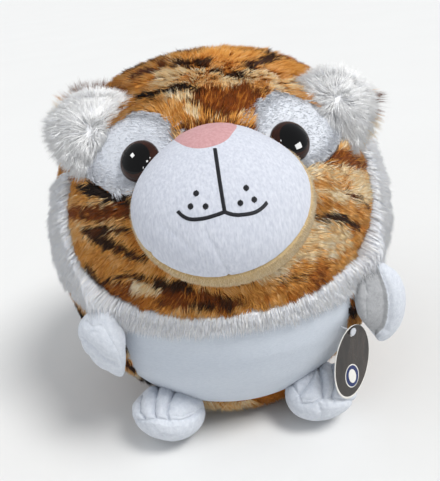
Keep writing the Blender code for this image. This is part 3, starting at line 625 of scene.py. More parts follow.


# The tiger's markings

# What the photograph shows of them: strokes of a tone and a width along points of the photograph, each laid
# over the ones before. The left cheek's dark stroke is partly painted shade.
STROKES = [
    (7, 18, ((160, 77), (215, 76))),
    (7, 22, ((250, 80), (300, 80))),
    (5, 16, ((218, 57), (264, 58))),
    (5, 20, ((277, 64), (302, 74))),
    (6, 11, ((180, 82), (215, 82))),
    (5, 30, ((140, 112), (200, 118))),
    (5, 18, ((224, 121), (260, 121))),
    (5, 24, ((262, 92), (262, 130))),
    (7, 9, ((189, 108), (197, 115))),
    (7, 6, ((170, 95), (196, 95))),
    (3, 25, ((206, 98), (247, 98))),
    (2, 5, ((204, 110), (226, 113))),
    (2, 6, ((130, 78), (150, 71), (165, 63))),
    (1, 9, ((178, 62), (192, 65), (206, 63))),
    (1, 3, ((186, 98), (198, 105))),
    (1, 4, ((214, 70), (228, 74), (242, 76))),
    (1, 9, ((248, 67), (262, 61), (274, 58))),
    (1, 3, ((260, 47), (276, 49), (290, 52))),
    (2, 4, ((254, 92), (266, 90))),
    (0, 5.5, ((138, 97), (150, 95), (165, 90), (178, 87), (190, 87), (200, 90))),
    (2, 5, ((163, 133), (180, 128), (200, 123), (215, 121), (235, 124), (255, 131))),
    (3, 17, ((82, 170), (98, 172))),
    (5, 11, ((78, 184), (128, 184))),
    # A tone darker than the cheek's gold: painted shade beside the muzzle, over the cheek's own stripe
    # colour.
    (3, 16, ((72, 213), (128, 212))),
    (5, 28, ((76, 258), (110, 266), (150, 268))),
    (0, 8, ((80, 188), (104, 196), (128, 202))),
    (1, 7, ((86, 233), (105, 229), (128, 230))),
    (1, 10, ((98, 240), (122, 250), (143, 258))),
    (1, 8, ((88, 268), (94, 282))),
    (3, 18, ((102, 291), (130, 293))),
    (7, 12, ((134, 290), (158, 289))),
    (1, 5, ((98, 284), (130, 276), (165, 284))),
    (4, 14, ((132, 303), (178, 303))),
    (1, 9, ((162, 302), (174, 303))),
    (1, 11, ((162, 286), (188, 287))),
    (3, 18, ((170, 300), (222, 301))),
    (1, 6, ((192, 306), (213, 307))),
    (2, 13, ((226, 304), (240, 303))),
    (5, 15, ((228, 291), (258, 292))),
    (5, 10, ((262, 287), (300, 287))),
    (1, 3, ((238, 284), (264, 277))),
    (1, 3, ((280, 282), (306, 275))),
    (7, 38, ((322, 180), (360, 185))),
    (7, 44, ((262, 262), (300, 240), (330, 236))),
    (3, 17, ((338, 154), (374, 164))),
    (0, 4, ((377, 160), (378, 180))),
    (5, 9, ((312, 184), (350, 184))),
    (2, 3, ((348, 190), (360, 198), (370, 208))),
    (5, 10, ((346, 216), (362, 216))),
    (1, 6, ((306, 222), (318, 216), (335, 217), (350, 222), (358, 228))),
    (5, 36, ((356, 110), (368, 145))),
    (1, 5, ((380, 120), (381, 150))),
]


def stroke_distance(pixels, points):
    """The distance of pixels from a line through points."""
    best = np.full(len(pixels), 1e9)
    for a, b in zip(points, points[1:]):
        a, b = np.array(a, float), np.array(b, float)
        t = np.clip(((pixels - a) @ (b - a)) / max((b - a) @ (b - a), 1e-9), 0, 1)
        best = np.minimum(best, np.linalg.norm(pixels - a - t[:, None] * (b - a), axis=1))
    return best


def ground_tone(light, *steps):
    """The tone between the stripes, from pale to gold, by how light it is there."""
    return np.select([light > step for step in steps], [7, 6, 5], 4)


def stripes(points):
    """The tone at points that the photograph doesn't show: wavering broken stripes on gold and cream."""
    warp = 0.55 * noise(points, 0.055, 3) + 0.25 * noise(points, 0.022, 4)
    around = np.arctan2(points[:, 0], -points[:, 1])
    run = points[:, 2] / 0.036 + warp + 0.35 * np.sin(2 * around)
    line = np.abs((run % 1) - 0.5) * 2 - 0.22 - 0.26 * noise(points * (1, 1, 1.6), 0.030, 5)
    tone = ground_tone(noise(points, 0.038, 6) + 0.3 * noise(points, 0.012, 7), 0.45, 0.12, -0.35)
    tone = np.where(line < 0.16, np.minimum(tone, 3), tone)
    tone = np.where(line < 0.05, 1, tone)
    return np.where(line < -0.06, 0, tone)


def markings(roots, normals, nap):
    """Each fibre's tone, by where its middle shows: the photograph's strokes in its view, else stripes."""
    rng = np.random.default_rng(11)
    reach = 0.0070 * along_surface(nap, normals) + 0.0035 * normals
    points = roots + reach + 0.0016 * noise_vector(roots, 0.0040, 13)
    seen = (unit(EYE_POINT - roots) * normals).sum(1) > 0.12
    front = seen & (regions(roots)["face"] | (roots[:, 2] > 0.2))
    base = ground_tone(noise(points, 0.030, 8) + 0.4 * noise(points, 0.010, 9), 0.5, 0.1, -0.45)
    tone = np.where(front, base, stripes(points))
    pixels = to_pixels(points)
    wobble = 1 + 0.35 * noise(points, 0.007, 12)
    for value, width, line in STROKES:
        tone = np.where(front & (stroke_distance(pixels, line) < width / 2 * wobble), value, tone)
    tufts = np.round(1.1 * noise(roots, 0.0038, 14) + 0.5 * rng.normal(0, 0.7, len(roots)))
    # Dark stripes take only one lighter step, and the palest fur one darker.
    pale = np.where(tone > 6, np.maximum(tufts, -1), tufts)
    tufts = np.where(tone < 2, np.clip(tufts, 0, 1), pale)
    return np.clip(tone + tufts, 0, 8).astype(int)


# The ball's cloth

# The height of the ruff's and the belly's inner sides, which lie inside the ball's filling.
UNDERSIDE = -0.003


def dished(share, crown, edge, power=7):
    """A panel's height: its crown in the middle, falling to its edge at the seam."""
    return edge + (crown - edge) * (1 - np.clip(share, 0, 1) ** power)


def make_ball():
    """The cloth of the whole ball. It stands out under the fur, and lies low under the other panels."""
    rows, columns = 150, 220
    angle, turn = np.meshgrid(np.linspace(0.0, math.pi, rows), circle(columns), indexing="ij")
    direction = polar(angle, turn).reshape(-1, 3)
    at = regions(ball_point(direction, TIGER_PILE))
    height = np.where(at["back"] | at["base"], 0.0042, 0.0012) + 0.0006 * noise(direction * 0.14, 0.03, 21)
    mesh = face_mesh("ball_cloth", ball_point(direction, height), [grid_faces(rows, columns, True)])
    made = add_piece("ball_cloth", tidy(mesh, 1e-5), [TIGER_CLOTH], "body")
    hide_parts("body_filling", "back_panel_left", "back_panel_right", "base_panel")


def make_face_cloth():
    s, t = disc(60, 180, 0.8)
    x, up = oval_rim(t, FACE_SIZE, FACE_FULLNESS)
    outer = on_ball(s * x, s * up, dished(s, 0.0045, 0.0))
    inner = on_ball(s * x, s * up, np.where(s >= 1, 0.0, -0.0025))
    made = add_skin("face_cloth", outer, inner, True, TIGER_CLOTH)
    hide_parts("face_panel")


def make_ruff_cloth(name, side):
    """White cloth between the face's seam and the ruff's outer seam, on one side."""
    bottom = -math.pi / 2
    inner_top = math.asin((RUFF_TOP / FACE_SIZE[1]) ** (1 / FACE_FULLNESS[0]))
    outer_top = math.asin(RUFF_TOP / RUFF_SIZE[1])
    along, out = np.meshgrid(np.linspace(0, 1, 90), np.linspace(0, 1, 24), indexing="ij")
    near = oval_rim(inner_top + along * (bottom - inner_top), FACE_SIZE, FACE_FULLNESS)
    far = oval_rim(outer_top + along * (bottom - outer_top), RUFF_SIZE, RUFF_FULLNESS)
    x, up = (a + out * (b - a) for a, b in zip(near, far))
    edge = np.maximum(np.abs(2 * out - 1), np.clip(1 - along / 0.06, 0, 1))
    height = dished(edge, 0.0068, 0.0, 3)
    rim = (out <= 0) | (out >= 1) | (along <= 0) | (along >= 1)
    outer = on_ball(side * x, up, height)
    inner = on_ball(side * x, up, np.where(rim, height, UNDERSIDE))
    made = add_skin(f"ruff_cloth_{name}", outer, inner, False, WHITE_BACKING)
    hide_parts(f"ruff_{name}")


def make_belly():
    """The belly's short velvet, from the base's seam and its rounded corners up under the ruff."""
    across, rise = np.meshgrid(np.linspace(-1, 1, 150), np.linspace(0, 1, 90), indexing="ij")
    x = BELLY_HALF * np.sin(across * math.pi / 2) * 0.9995
    low = belly_low(x)

    def front(height, z):
        return stacked(x, -np.sqrt(np.maximum(ball_reach(height, z) ** 2 - x**2, 0)), z)

    def outside_ruff(z):
        fx, up, _ = face_coordinates(front(BELLY_PILE, z))
        return (ruff_share(fx, up) > 0.90) & (up < 0)

    top, _ = bisect(low, np.full(x.shape, 0.19), 30, outside_ruff)
    z = low + (top - low) * rise
    wrinkle = 0.0004 * noise(stacked(x, z, z).reshape(-1, 3) * (0.6, 1.6, 0), 0.02, 31).reshape(x.shape)
    edge = np.maximum(np.abs(across), np.abs(2 * rise - 1))
    height = dished(edge, BELLY_PILE + 0.0004 + wrinkle, 0.0002, 26)
    rim = (np.abs(across) >= 1) | (rise <= 0) | (rise >= 1)
    outer, inner = front(height, z), front(np.where(rim, height, UNDERSIDE), z)
    made = add_skin("belly_cloth", outer, inner, False, BELLY_CLOTH)
    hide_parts("belly_panel")


def make_patch_cloth(name, side):
    """White cloth around an eye, kept inside the face's seam."""
    s, t = disc(34, 120, 0.8)
    x, up = turned(PATCH_SIZE[0] * np.cos(t), PATCH_SIZE[1] * np.sin(t), side * PATCH_TURN)
    x, up = side * PATCH_AT[0] + s * x, PATCH_AT[1] + s * up
    over = np.maximum(face_share(x, up) / 0.985, 1)
    x, up = x / over, up / over
    outer = on_ball(x, up, dished(np.where(over > 1, 1.0, s), 0.0055, 0.0035, 5))
    inner = on_ball(x, up, np.where(s >= 1, 0.0035, -0.002))
    made = add_skin(f"patch_cloth_{name}", outer, inner, True, PATCH_BACKING)
    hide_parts(f"eye_patch_{name}")


# The muzzle

MUZZLE_PLACE = np.array((0, -0.0058, 0.1400))
MUZZLE_SIZE = (0.0605, 0.0532)
MUZZLE_REACH = 0.0430
MUZZLE_BACK = 0.0500
MUZZLE_NARROWING = 0.16
MUZZLE_DEPTH = -0.006
SEAM_ROLL = 0.0014
BAND_EDGE = 0.0090
BAND_TILT = math.radians(8)
BAND_TURN = 0.10
NOSE_AT = (-0.0050, 0.0450)
NOSE_SIZE = (0.0225, 0.0190)
NOSE_TURN = math.radians(8)
# Darts and soft creases of the muzzle: depth in metres, width in pixels, and the photograph's points.
MUZZLE_CREASES = [
    (0.0014, 1.2, ((226, 268), (229, 276), (230, 286))),
    (0.0006, 2.6, ((205, 232), (215, 250), (226, 270))),
    (0.0012, 1.2, ((149, 244), (150, 256), (152, 264))),
    (0.0004, 3.0, ((163, 226), (190, 248), (204, 262))),
]


def muzzle_world(p):
    """Points of the muzzle's own frame, x across, y up the face and z out of it, in the shared frame."""
    return from_face(*np.moveaxis(p + MUZZLE_PLACE, -1, 0))


def muzzle_width(y):
    """The muzzle's half-width at a share of its height. It narrows upward."""
    return MUZZLE_SIZE[0] * (1 - MUZZLE_NARROWING * np.maximum(0, y) ** 2)


def muzzle_egg(direction, out=0.0):
    """The egg's surface at unit directions, or a height outside it, and its normals."""
    x, y, z = np.moveaxis(direction, -1, 0)
    reach = np.where(z > 0, MUZZLE_REACH, MUZZLE_BACK)
    p = stacked(x * muzzle_width(y), y * MUZZLE_SIZE[1], z * reach)
    n = unit(stacked(x / MUZZLE_SIZE[0], y / MUZZLE_SIZE[1], z / reach))
    return p + n * np.asarray(out)[..., None], n


def band_side(direction):
    """How far the egg's surface at unit directions is in front of the band's edge."""
    x, y, z = np.moveaxis(muzzle_egg(direction)[0], -1, 0)
    return math.sin(BAND_TILT) * y + math.cos(BAND_TILT) * (z - BAND_EDGE) - BAND_TURN * x


def muzzle_edge(turn):
    """The angle from the muzzle's axis at which its band starts."""
    start, end = np.zeros_like(turn), np.full_like(turn, math.pi)
    low, high = bisect(start, end, 40, lambda angle: band_side(polar(angle, turn)) > 0)
    return (low + high) / 2


def add_egg_skin(name, direction, out, inward, look):
    """A cloth over a part of the muzzle's egg, at one height outside it and another inside."""
    outer, inner = (muzzle_world(muzzle_egg(direction, height)[0]) for height in (out, inward))
    return add_skin(name, outer, inner, True, look)


def groove(away, share, reach):
    """A crease's depth by the distance from it in widths: a narrow fold in a shallower dip."""
    return 0.6 * fade(away) + share * fade(away, reach)


def make_muzzle():
    s, t = disc(130, 360)
    direction = polar(s * muzzle_edge(t[0]), t)
    roll = -SEAM_ROLL * np.clip((s - 0.965) / 0.035, 0, 1) ** 2
    swell = 0.0005 * noise(direction.reshape(-1, 3), 0.35, 41).reshape(s.shape)
    pixels = to_pixels(muzzle_world(muzzle_egg(direction)[0]).reshape(-1, 3))
    creases = 0
    for depth, width, line in MUZZLE_CREASES:
        away = stroke_distance(pixels, line).reshape(s.shape) / width
        creases = np.maximum(creases, depth * groove(away, 0.4, 3))
    tucks = 0.00010 * np.sin(t * 46) * smoothstep(0.93, 1.0, s)
    out = roll + swell - creases + tucks
    inward = np.where(s >= 1, out, MUZZLE_DEPTH)
    made = add_egg_skin("muzzle_front", direction, out, inward, MUZZLE_CLOTH)
    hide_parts("muzzle_panel", "muzzle_filling")
    return made


def make_band():
    s, t = disc(130, 360)
    edge = muzzle_edge(t[0])
    direction = polar(edge + s * (math.pi * 0.80 - edge), t)
    roll = -SEAM_ROLL * np.clip((0.05 - s) / 0.05, 0, 1) ** 2
    inward = np.where((s <= 0) | (s >= 1), roll, MUZZLE_DEPTH)
    made = add_egg_skin("muzzle_band_cloth", direction, roll, inward, BAND_CLOTH)
    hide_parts("muzzle_band")


def nose_direction(turn, share):
    """The egg's unit directions at a share of the way out to the nose's outline."""
    x, y = turned(NOSE_SIZE[0] * np.cos(turn) * share, NOSE_SIZE[1] * np.sin(turn) * share, NOSE_TURN)
    y = (NOSE_AT[1] + y) / MUZZLE_SIZE[1]
    x = (NOSE_AT[0] + x) / muzzle_width(y)
    return stacked(x, y, np.sqrt(np.maximum(1 - x**2 - y**2, 0)))


def make_nose():
    """The nose's cloth, cut off where the muzzle's band starts."""

    def in_front(share):
        direction = nose_direction(turn, share)
        return (direction[:, 2] > 0) & (band_side(direction) > 0.0006)

    s, t = disc(40, 120, 0.7)
    turn = t[0]
    share, _ = bisect(np.zeros_like(turn), np.ones_like(turn), 40, in_front)
    out = dished(s, 0.0012, -0.0006, 5)
    inward = np.where(s >= 1, -0.0006, -0.004)
    direction = nose_direction(t, share * s)
    made = add_egg_skin("nose_cloth", direction, out, inward, NOSE_CLOTH)
    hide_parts("nose")


# The embroidery

MOUTH = [
    ((214.9, 148.4), (217.0, 163.0), (220.4, 186.0), (224.7, 211.9)),
    ((177.7, 211.2), (183.0, 216.2), (190.9, 219.3), (203.0, 218.6), (214.4, 215.6), (224.7, 211.9)),
    ((224.7, 211.9), (232.0, 214.4), (240.8, 214.9), (254.0, 212.7), (262.0, 208.0), (267.2, 202.4)),
]
DOTS = [(196.1, 193.3), (190.5, 206.4), (205.6, 206.4), (246.2, 188.0), (240.4, 203.0), (254.3, 199.6)]
DOT_RADIUS = 0.0018
# A mouth's stitch: the step to the next, its length, the lean across its line and its thread's radius.
STITCH_STEP = 0.00042
STITCH_LENGTH = 0.0025
STITCH_LEAN = 0.22
STITCH_THREAD = 0.00032
DOT_THREAD = 0.00034


def surface_tree(made):
    points = [made.matrix_world @ v.co for v in made.data.vertices]
    return BVHTree.FromPolygons(points, [tuple(p.vertices) for p in made.data.polygons])


def resample(points, step):
    """Points about a step apart along a line of points."""
    points = np.array(points, float)
    at = np.concatenate([[0], np.cumsum(np.linalg.norm(np.diff(points, axis=0), axis=1))])
    where = np.linspace(0, at[-1], max(2, int(round(at[-1] / step)) + 1))
    return stacked(*(np.interp(where, at, column) for column in points.T))


def smooth_line(points, count=12):
    """A Catmull-Rom line through points, with a count of steps from each to the next."""
    p = np.array(points, float)
    p = np.concatenate([[2 * p[0] - p[1]], p, [2 * p[-1] - p[-2]]])
    made = []
    for a, b, c, d in zip(p, p[1:], p[2:], p[3:]):
        for t in np.linspace(0, 1, count, endpoint=False):
            bend = (2 * a - 5 * b + 4 * c - d) * t**2 + (3 * b - a - 3 * c + d) * t**3
            made.append(0.5 * (2 * b + (c - a) * t + bend))
    return np.array(made + [p[-2]])


def stitch_points(middle, along, normal, length, thick):
    """One satin stitch: a thread that rises from the cloth, lies across and goes back in."""
    out = np.cross(normal, along)
    rings = []
    for r in np.linspace(-1, 1, 7):
        centre = middle + along * length / 2 * r + normal * thick * (0.55 - 1.15 * r**4)
        size = thick * (1 - 0.35 * r**4)
        rings.append([centre + size * (math.cos(a) * out + math.sin(a) * normal) for a in circle(6)])
    return np.array(rings)


def join_tubes(name, tubes):
    """One mesh of tubes, each with a flat cap at either end."""
    quads, caps = [], []
    start = 0
    for rings in tubes:
        rows, columns = rings.shape[:2]
        ring = start + np.arange(columns)
        quads.append(grid_faces(rows, columns, True, start))
        caps.append(np.array([ring[::-1], ring + (rows - 1) * columns]))
        start += rows * columns
    points = np.concatenate([rings.reshape(-1, 3) for rings in tubes])
    return face_mesh(name, points, [np.concatenate(quads), np.concatenate(caps)])


def make_embroidery(front):
    """The mouth and the whisker dots, in satin stitches across their lines."""
    tree = surface_tree(front)
    tubes = []
    for line in MOUTH:
        placed = resample([pixel_hit(tree, x, y)[0] for x, y in smooth_line(line)], STITCH_STEP)
        for a, b in zip(placed, placed[1:]):
            place, normal = (np.array(v) for v in tree.find_nearest(Vector((a + b) / 2))[:2])
            way = unit(b - a)
            across = unit(np.cross(normal, way) + STITCH_LEAN * way)
            tubes.append(stitch_points(place, across, normal, STITCH_LENGTH, STITCH_THREAD))
    for x, y in DOTS:
        place, normal = (np.array(v) for v in pixel_hit(tree, x, y))
        way = unit(np.cross(normal, (0.2, 0.1, 1)))
        side = np.cross(normal, way)
        for k in np.linspace(-1, 1, 9):
            length = 2 * DOT_RADIUS * math.sqrt(1.06 - k * k)
            tubes.append(stitch_points(place + side * 0.00165 * k, way, normal, length, DOT_THREAD))
    add_piece("embroidery", join_tubes("embroidery", tubes), [THREAD], "body")


# Eyes

# The windows that glint in the eyes: the glint's pixel, and the window's size in metres.
GLINTS = {
    "left": [(132.5, 155.5, 0.050, 0.034), (147, 161, 0.032, 0.026), (143, 168, 0.010, 0.034)],
    "right": [(298.5, 146.5, 0.092, 0.066), (292, 154, 0.026, 0.026), (281, 141, 0.018, 0.022)],
}
GLINT_AWAY = 0.20
GLINT_GLOW = 40.0
# The edge of the dome above its seat, and the share of its radius that the pupil takes.
EYE_LIP = 0.0015
PUPIL_SHARE = 0.74


def frame_of(origin, across, up):
    """A place whose z is up and whose x is across, made square to it."""
    z = Vector(up).normalized()
    y = z.cross(Vector(across)).normalized()
    made = Matrix((y.cross(z), y, z)).transposed().to_4x4()
    made.translation = origin
    return made


def eye_looks():
    """A black pupil, and an iris with faint rays of brown."""
    pupil = plain("eye_pupil", "040303", 0.03, 0, 0.25)
    ring = plain("eye_iris", "2A120A", 0.04, 0, 0.25)
    tree = ring.node_tree
    where = add_node(tree, "TexCoord").outputs["Object"]
    rays = add_node(tree, "TexNoise", {"Scale": 260, "Vector": where}).outputs["Fac"]
    colour = add_ramp(tree, rays, (0, "190B07"), (1, "3A1A0D"))
    tree.links.new(colour, shader_of(ring).inputs["Base Color"])
    return [pupil, ring]


def add_glint(tree, x, y, width, height):
    """A small soft lamp that only gloss sees, where the eye's dome mirrors it at a pixel."""
    place, normal = pixel_hit(tree, x, y)
    view = (Vector(EYE_POINT) - place).normalized()
    light = 2 * normal.dot(view) * normal - view
    data = bpy.data.lights.new("glint", "AREA")
    data.shape = "RECTANGLE"
    data.size, data.size_y = width, height
    data.energy = GLINT_GLOW * math.pi * width * height
    lamp = add_object("glint", data)
    lamp.location = place + GLINT_AWAY * light
    lamp.rotation_euler = light.to_track_quat("Z", "Y").to_euler()
    lamp.visible_camera = False
    lamp.visible_diffuse = False


def eye_rings():
    """The dome from its top down to its lip, and a flat underside."""
    slope = np.linspace(0.02, 1, 40) * math.pi / 2
    radius = np.concatenate([EYE_RADIUS * np.sin(slope), [EYE_RADIUS * 0.995, EYE_RADIUS * 0.96, 0.006]])
    height = np.concatenate([EYE_LIP + (EYE_DOME - EYE_LIP) * np.cos(slope), [0.0004, -0.0004, -0.0006]])
    turn = circle(72)
    return stacked(radius[:, None] * np.cos(turn), radius[:, None] * np.sin(turn), height[:, None])


def make_eyes():
    looks = eye_looks()
    for name, side in SIDES.items():
        seat = on_ball(np.array(side * EYE_AT[0]), np.array(EYE_AT[1]), EYE_SEAT)
        place = frame_of(seat, (1, 0, 0), ball_normal(seat[None], EYE_SEAT)[0])
        mesh = tube_mesh(f"eye_dome_{name}", eye_rings())
        share = np.array([p.center.to_2d().length for p in mesh.polygons]) / EYE_RADIUS
        low = np.array([p.center.z for p in mesh.polygons])
        set_looks(mesh, (share > PUPIL_SHARE) | (low < 0.001))
        made = add_piece(f"eye_dome_{name}", mesh, looks, "body", place)
        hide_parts(f"eye_{name}")
        tree = surface_tree(made)
        for glint in GLINTS[name]:
            add_glint(tree, *glint)


# Arms and feet

# How far the covers stand out from the CAD's solids.
COVER_OUT = 0.0007
# The limbs' seams and creases, as the photograph shows them: a depth and a width in millimetres, and the
# photograph's points along each.
CREASES = {
    "arm_left": [
        (2.2, 1.0, ((83, 340), (96, 352), (103, 359), (114, 364))),
        (2.0, 1.0, ((91, 356), (103, 368), (110, 375), (120, 382))),
        (0.6, 0.7, ((104, 322), (112, 339), (118, 352), (122, 368))),
        (0.9, 1.5, ((84, 318), (92, 323), (101, 322))),
    ],
    "arm_right": [
        (1.3, 0.9, ((383, 272), (386, 282), (389, 295), (390, 305), (389, 320), (385, 330), (376, 337))),
        (1.3, 1.1, ((357, 268), (364, 285), (367, 294))),
        (1.0, 1.0, ((349, 274), (358, 283))),
        (0.6, 1.0, ((366, 293), (367, 320))),
    ],
    "foot_left": [
        (2.4, 1.0, ((145, 384), (138, 400), (138, 411), (143, 419))),
        (2.6, 1.0, ((159, 382), (154, 400), (153, 411), (155, 418))),
        (2.6, 1.0, ((176, 388), (169, 402), (167, 413), (169, 421))),
        (1.8, 1.2, ((124, 412), (134, 421), (146, 421), (156, 419), (169, 421))),
        (1.3, 0.8, ((169, 420), (181, 421), (192, 417), (202, 408))),
        (0.8, 0.7, ((171, 416), (183, 417), (194, 411))),
        (2.6, 4.5, ((126, 432), (138, 436), (150, 446))),
        (0.9, 1.2, ((150, 422), (158, 432), (160, 442))),
    ],
    "foot_right": [
        (2.6, 1.0, ((317, 364), (322, 380), (323, 398))),
        (2.4, 1.0, ((331, 360), (336, 380), (333, 398))),
        (2.2, 1.0, ((313, 370), (306, 384), (297, 395))),
        (1.3, 0.9, ((322, 398), (334, 398), (358, 402))),
        (1.4, 0.9, ((290, 380), (298, 396), (301, 404), (312, 404), (321, 399))),
        (0.8, 0.7, ((300, 400), (311, 400), (320, 396))),
        (0.9, 1.2, ((318, 404), (322, 414), (320, 424))),
    ],
}
# The seam between the right arm's palm and the cloth that folds over its edge. Inside it, where the camera
# sees the palm, the cloth is greyer: painted shade.
PALM_EDGE = np.array(
    ((380, 264), (385, 278), (388, 290), (390, 305), (389, 320), (385, 330), (377, 336), (358, 340))
)


def pad_points(direction, length, half_width, half_thickness, root, narrowing=0.0, bow=0.0, out=0.0):
    """The CAD's stuffed pad at unit directions: it hangs along -Z, narrows to its tip and bows along +Y."""
    x, y, z = np.moveaxis(direction, -1, 0)
    along = (z + 1) / 2
    fullness = 1 - narrowing * np.maximum(0, -z)
    return stacked(
        x * (half_width + out) * fullness,
        y * (half_thickness + out) * fullness + 4 * bow * along * (1 - along),
        z * (length / 2 + out) - length / 2 + root,
    )


def sphere_grid(rows, columns):
    return polar(*np.meshgrid(np.linspace(0.03, math.pi - 0.03, rows), circle(columns), indexing="ij"))


def axes_of(place):
    return np.array(place)[:3, :3]


def to_world(points, place):
    return points @ axes_of(place).T + np.array(place)[:3, 3]


def creased(points, normals, place, lines, strength=1.0):
    """How far each point of a limb goes in, along its lines where the camera sees it and in soft folds all
    over, with the points' pixels and how far the camera sees each."""
    world, facing = to_world(points, place), normals @ axes_of(place).T
    seen = smoothstep(-0.45, 0.12, (unit(EYE_POINT - world) * facing).sum(1))
    pixels = to_pixels(world)
    millimetres = np.linalg.norm(world - EYE_POINT, axis=1) / FOCAL_PIXELS * 1000
    depth, near = np.zeros(len(world)), np.zeros(len(world))
    for cut, width, line in lines:
        away = stroke_distance(pixels, line) * millimetres / width
        depth = np.maximum(depth, cut * groove(away, 0.7, 4))
        near = np.maximum(near, fade(away, 5))
    pucker = 0.35 * near * noise(points, 0.0035, 52)
    folds = 0.45 * noise(points, 0.014, 51) + 0.18 * noise(points, 0.006, 53)
    return ((depth + pucker) * seen + folds) * strength / 1000, pixels, seen


# Each arm's place and bow are as in the CAD. Its cover is fuller to the tip, pinched on one side, lower at
# the root and bent sideways at the tip, as far as the photograph shows.
ARMS = {
    "left": dict(azimuth=40.0, slant=15.0, lean=-9.0, twist=0.0, bow=0.0095,
                 fullest=2.2, pinch=0.0, drop=0.0070, hook=0.0045),
    "right": dict(azimuth=44.3, slant=19.0, lean=3.0, twist=-22.0, bow=0.0060,
                  fullest=1.45, pinch=0.16, drop=0.0020, hook=0.0),
}
ARM_SIZE = dict(length=0.0900, half_width=0.0205, half_thickness=0.0090, root=0.0140, narrowing=0.25)
ARM_GRID = (230, 200)


def arm_start(name, side):
    return ball_side(side, ARMS[name]["azimuth"], ARM_HEIGHT, 0.003)


def arm_place(name, side):
    start, facing = arm_start(name, side)
    place = frame_of(start, facing.cross(Vector((0, 0, 1))), (0, 0, 1))
    for key, sense, axis in (("lean", 1, "X"), ("slant", side, "Y"), ("twist", side, "Z")):
        place = place @ Matrix.Rotation(sense * math.radians(ARMS[name][key]), 4, axis)
    return place


def make_arm(name, side):
    arm, place = ARMS[name], arm_place(name, side)
    d = sphere_grid(*ARM_GRID).reshape(-1, 3)
    p = pad_points(d, bow=arm["bow"], **ARM_SIZE)
    normals = unit(d / (ARM_SIZE["half_width"], ARM_SIZE["half_thickness"], ARM_SIZE["length"] / 2))
    depth, pixels, seen = creased(p, normals, place, CREASES[f"arm_{name}"])
    palm_shade_mask = None
    if name == "right":
        over = pixels[:, 0] - np.interp(pixels[:, 1], PALM_EDGE[:, 1], PALM_EDGE[:, 0])
        hollow = smoothstep(0, 3.5, -over) * (1 - 0.55 * smoothstep(8, 30, -over))
        depth += seen * (0.0034 * hollow - 0.0012 * smoothstep(0, 4, over))
        # Where the camera sees it, the palm takes the greyer cloth: painted shade of its hollow.
        palm_shade_mask = (over < -1) & (seen > 0.5)
    seam = 0.0007 * fade(d[:, 1], 0.05) * (1 - seen)
    p = p + normals * (COVER_OUT - depth - seam)[:, None]
    at_root = smoothstep(0.2, 1.0, d[:, 2])
    low = np.abs(np.minimum(d[:, 2], 0))
    fuller = (1 - low**2.7) ** (1 / 2.7) / np.sqrt(1 - low**2)
    p[:, 0] *= np.minimum(fuller, arm["fullest"]) * (1 - 0.3 * at_root)
    p[:, 0] *= 1 - arm["pinch"] * smoothstep(0.1, 0.7, -d[:, 2]) * (d[:, 0] > 0)
    # The root is flat on the ball's side, so that the arm lifts without pressing far into it.
    p[:, 1] *= 1 - 0.85 * smoothstep(0.0, 0.6, d[:, 2]) * smoothstep(0.0, 0.3, -d[:, 1])
    p[:, 2] -= arm["drop"] * at_root
    p[:, 0] += arm["hook"] * low**2
    mesh = tube_mesh(f"arm_cover_{name}", p.reshape(*ARM_GRID, 3))
    looks = [LIMB_CLOTH]
    if palm_shade_mask is not None:
        set_looks(mesh, palm_shade_mask[nearest([f.center for f in mesh.polygons], p)])
        looks = [LIMB_CLOTH, PALM_SHADE_CLOTH]
    made = add_piece(f"arm_cover_{name}", mesh, looks, f"arm_{name}", place)
    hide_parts(f"arm_{name}", f"arm_{name}_filling")


FOOT_SIZE = (0.0300, 0.0310, 0.0225)
FOOT_TIP = math.radians(30)
FOOT_TURN = math.radians(24)
FOOT_AT = (0.0640, -0.0900)
FOOT_GRID = (230, 220)
# How far the feet stay above zero, and the floor below it.
FLOOR_GAP = 0.0006


def make_foot(name, side):
    height = math.hypot(FOOT_SIZE[2] * math.cos(FOOT_TIP), FOOT_SIZE[1] * math.sin(FOOT_TIP))
    place = Matrix.Translation((side * FOOT_AT[0], FOOT_AT[1], height + 0.0025))
    place = place @ Matrix.Rotation(side * FOOT_TURN, 4, "Z") @ Matrix.Rotation(-FOOT_TIP, 4, "X")
    grid = sphere_grid(*FOOT_GRID).reshape(-1, 3)[:, [2, 0, 1]]
    p = grid * FOOT_SIZE
    normals = unit(grid / FOOT_SIZE)
    depth, _, seen = creased(p, normals, place, CREASES[f"foot_{name}"], 1.4)
    seam = 0.0011 * fade(p[:, 2] + 0.002, 0.0011) * (1 - seen)
    p = p + normals * np.minimum(COVER_OUT - depth - seam, 0.0006)[:, None]
    low = to_world(p, place)[:, 2]
    p += np.maximum(0, FLOOR_GAP - low)[:, None] * (axes_of(place).T @ np.array((0, 0, 1)))
    mesh = tube_mesh(f"foot_cover_{name}", p.reshape(*FOOT_GRID, 3))
    made = add_piece(f"foot_cover_{name}", mesh, [LIMB_CLOTH], f"foot_{name}", place)
    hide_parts(f"foot_{name}_upper", f"foot_{name}_sole", f"foot_{name}_filling")


# Ears and tail

# Each ear's seam by shares of the ball, the height of the tuft in its middle, and the direction in which long
# tiger fur peeks over its rim.
EARS = {
    "left": dict(seam=((-0.382, -0.371, 0.855), (-0.636, -0.493, 0.613)), heart=-0.014, peek=(0, 0, 1.0)),
    "right": dict(seam=((0.443, -0.386, 0.806), (0.682, -0.500, 0.561)), heart=-0.020, peek=(1.0, 0, -0.1)),
}
EAR_CLOTH = dict(length=0.0620, half_width=0.0240, half_thickness=0.0030, root=0.0270)
EAR_FUR = dict(length=0.0600, half_width=0.0235, half_thickness=0.0033, root=0.0270)
# Where the white fur of an ear's front ends and the tiger's starts, by the directions' y.
EAR_RIM = -0.40


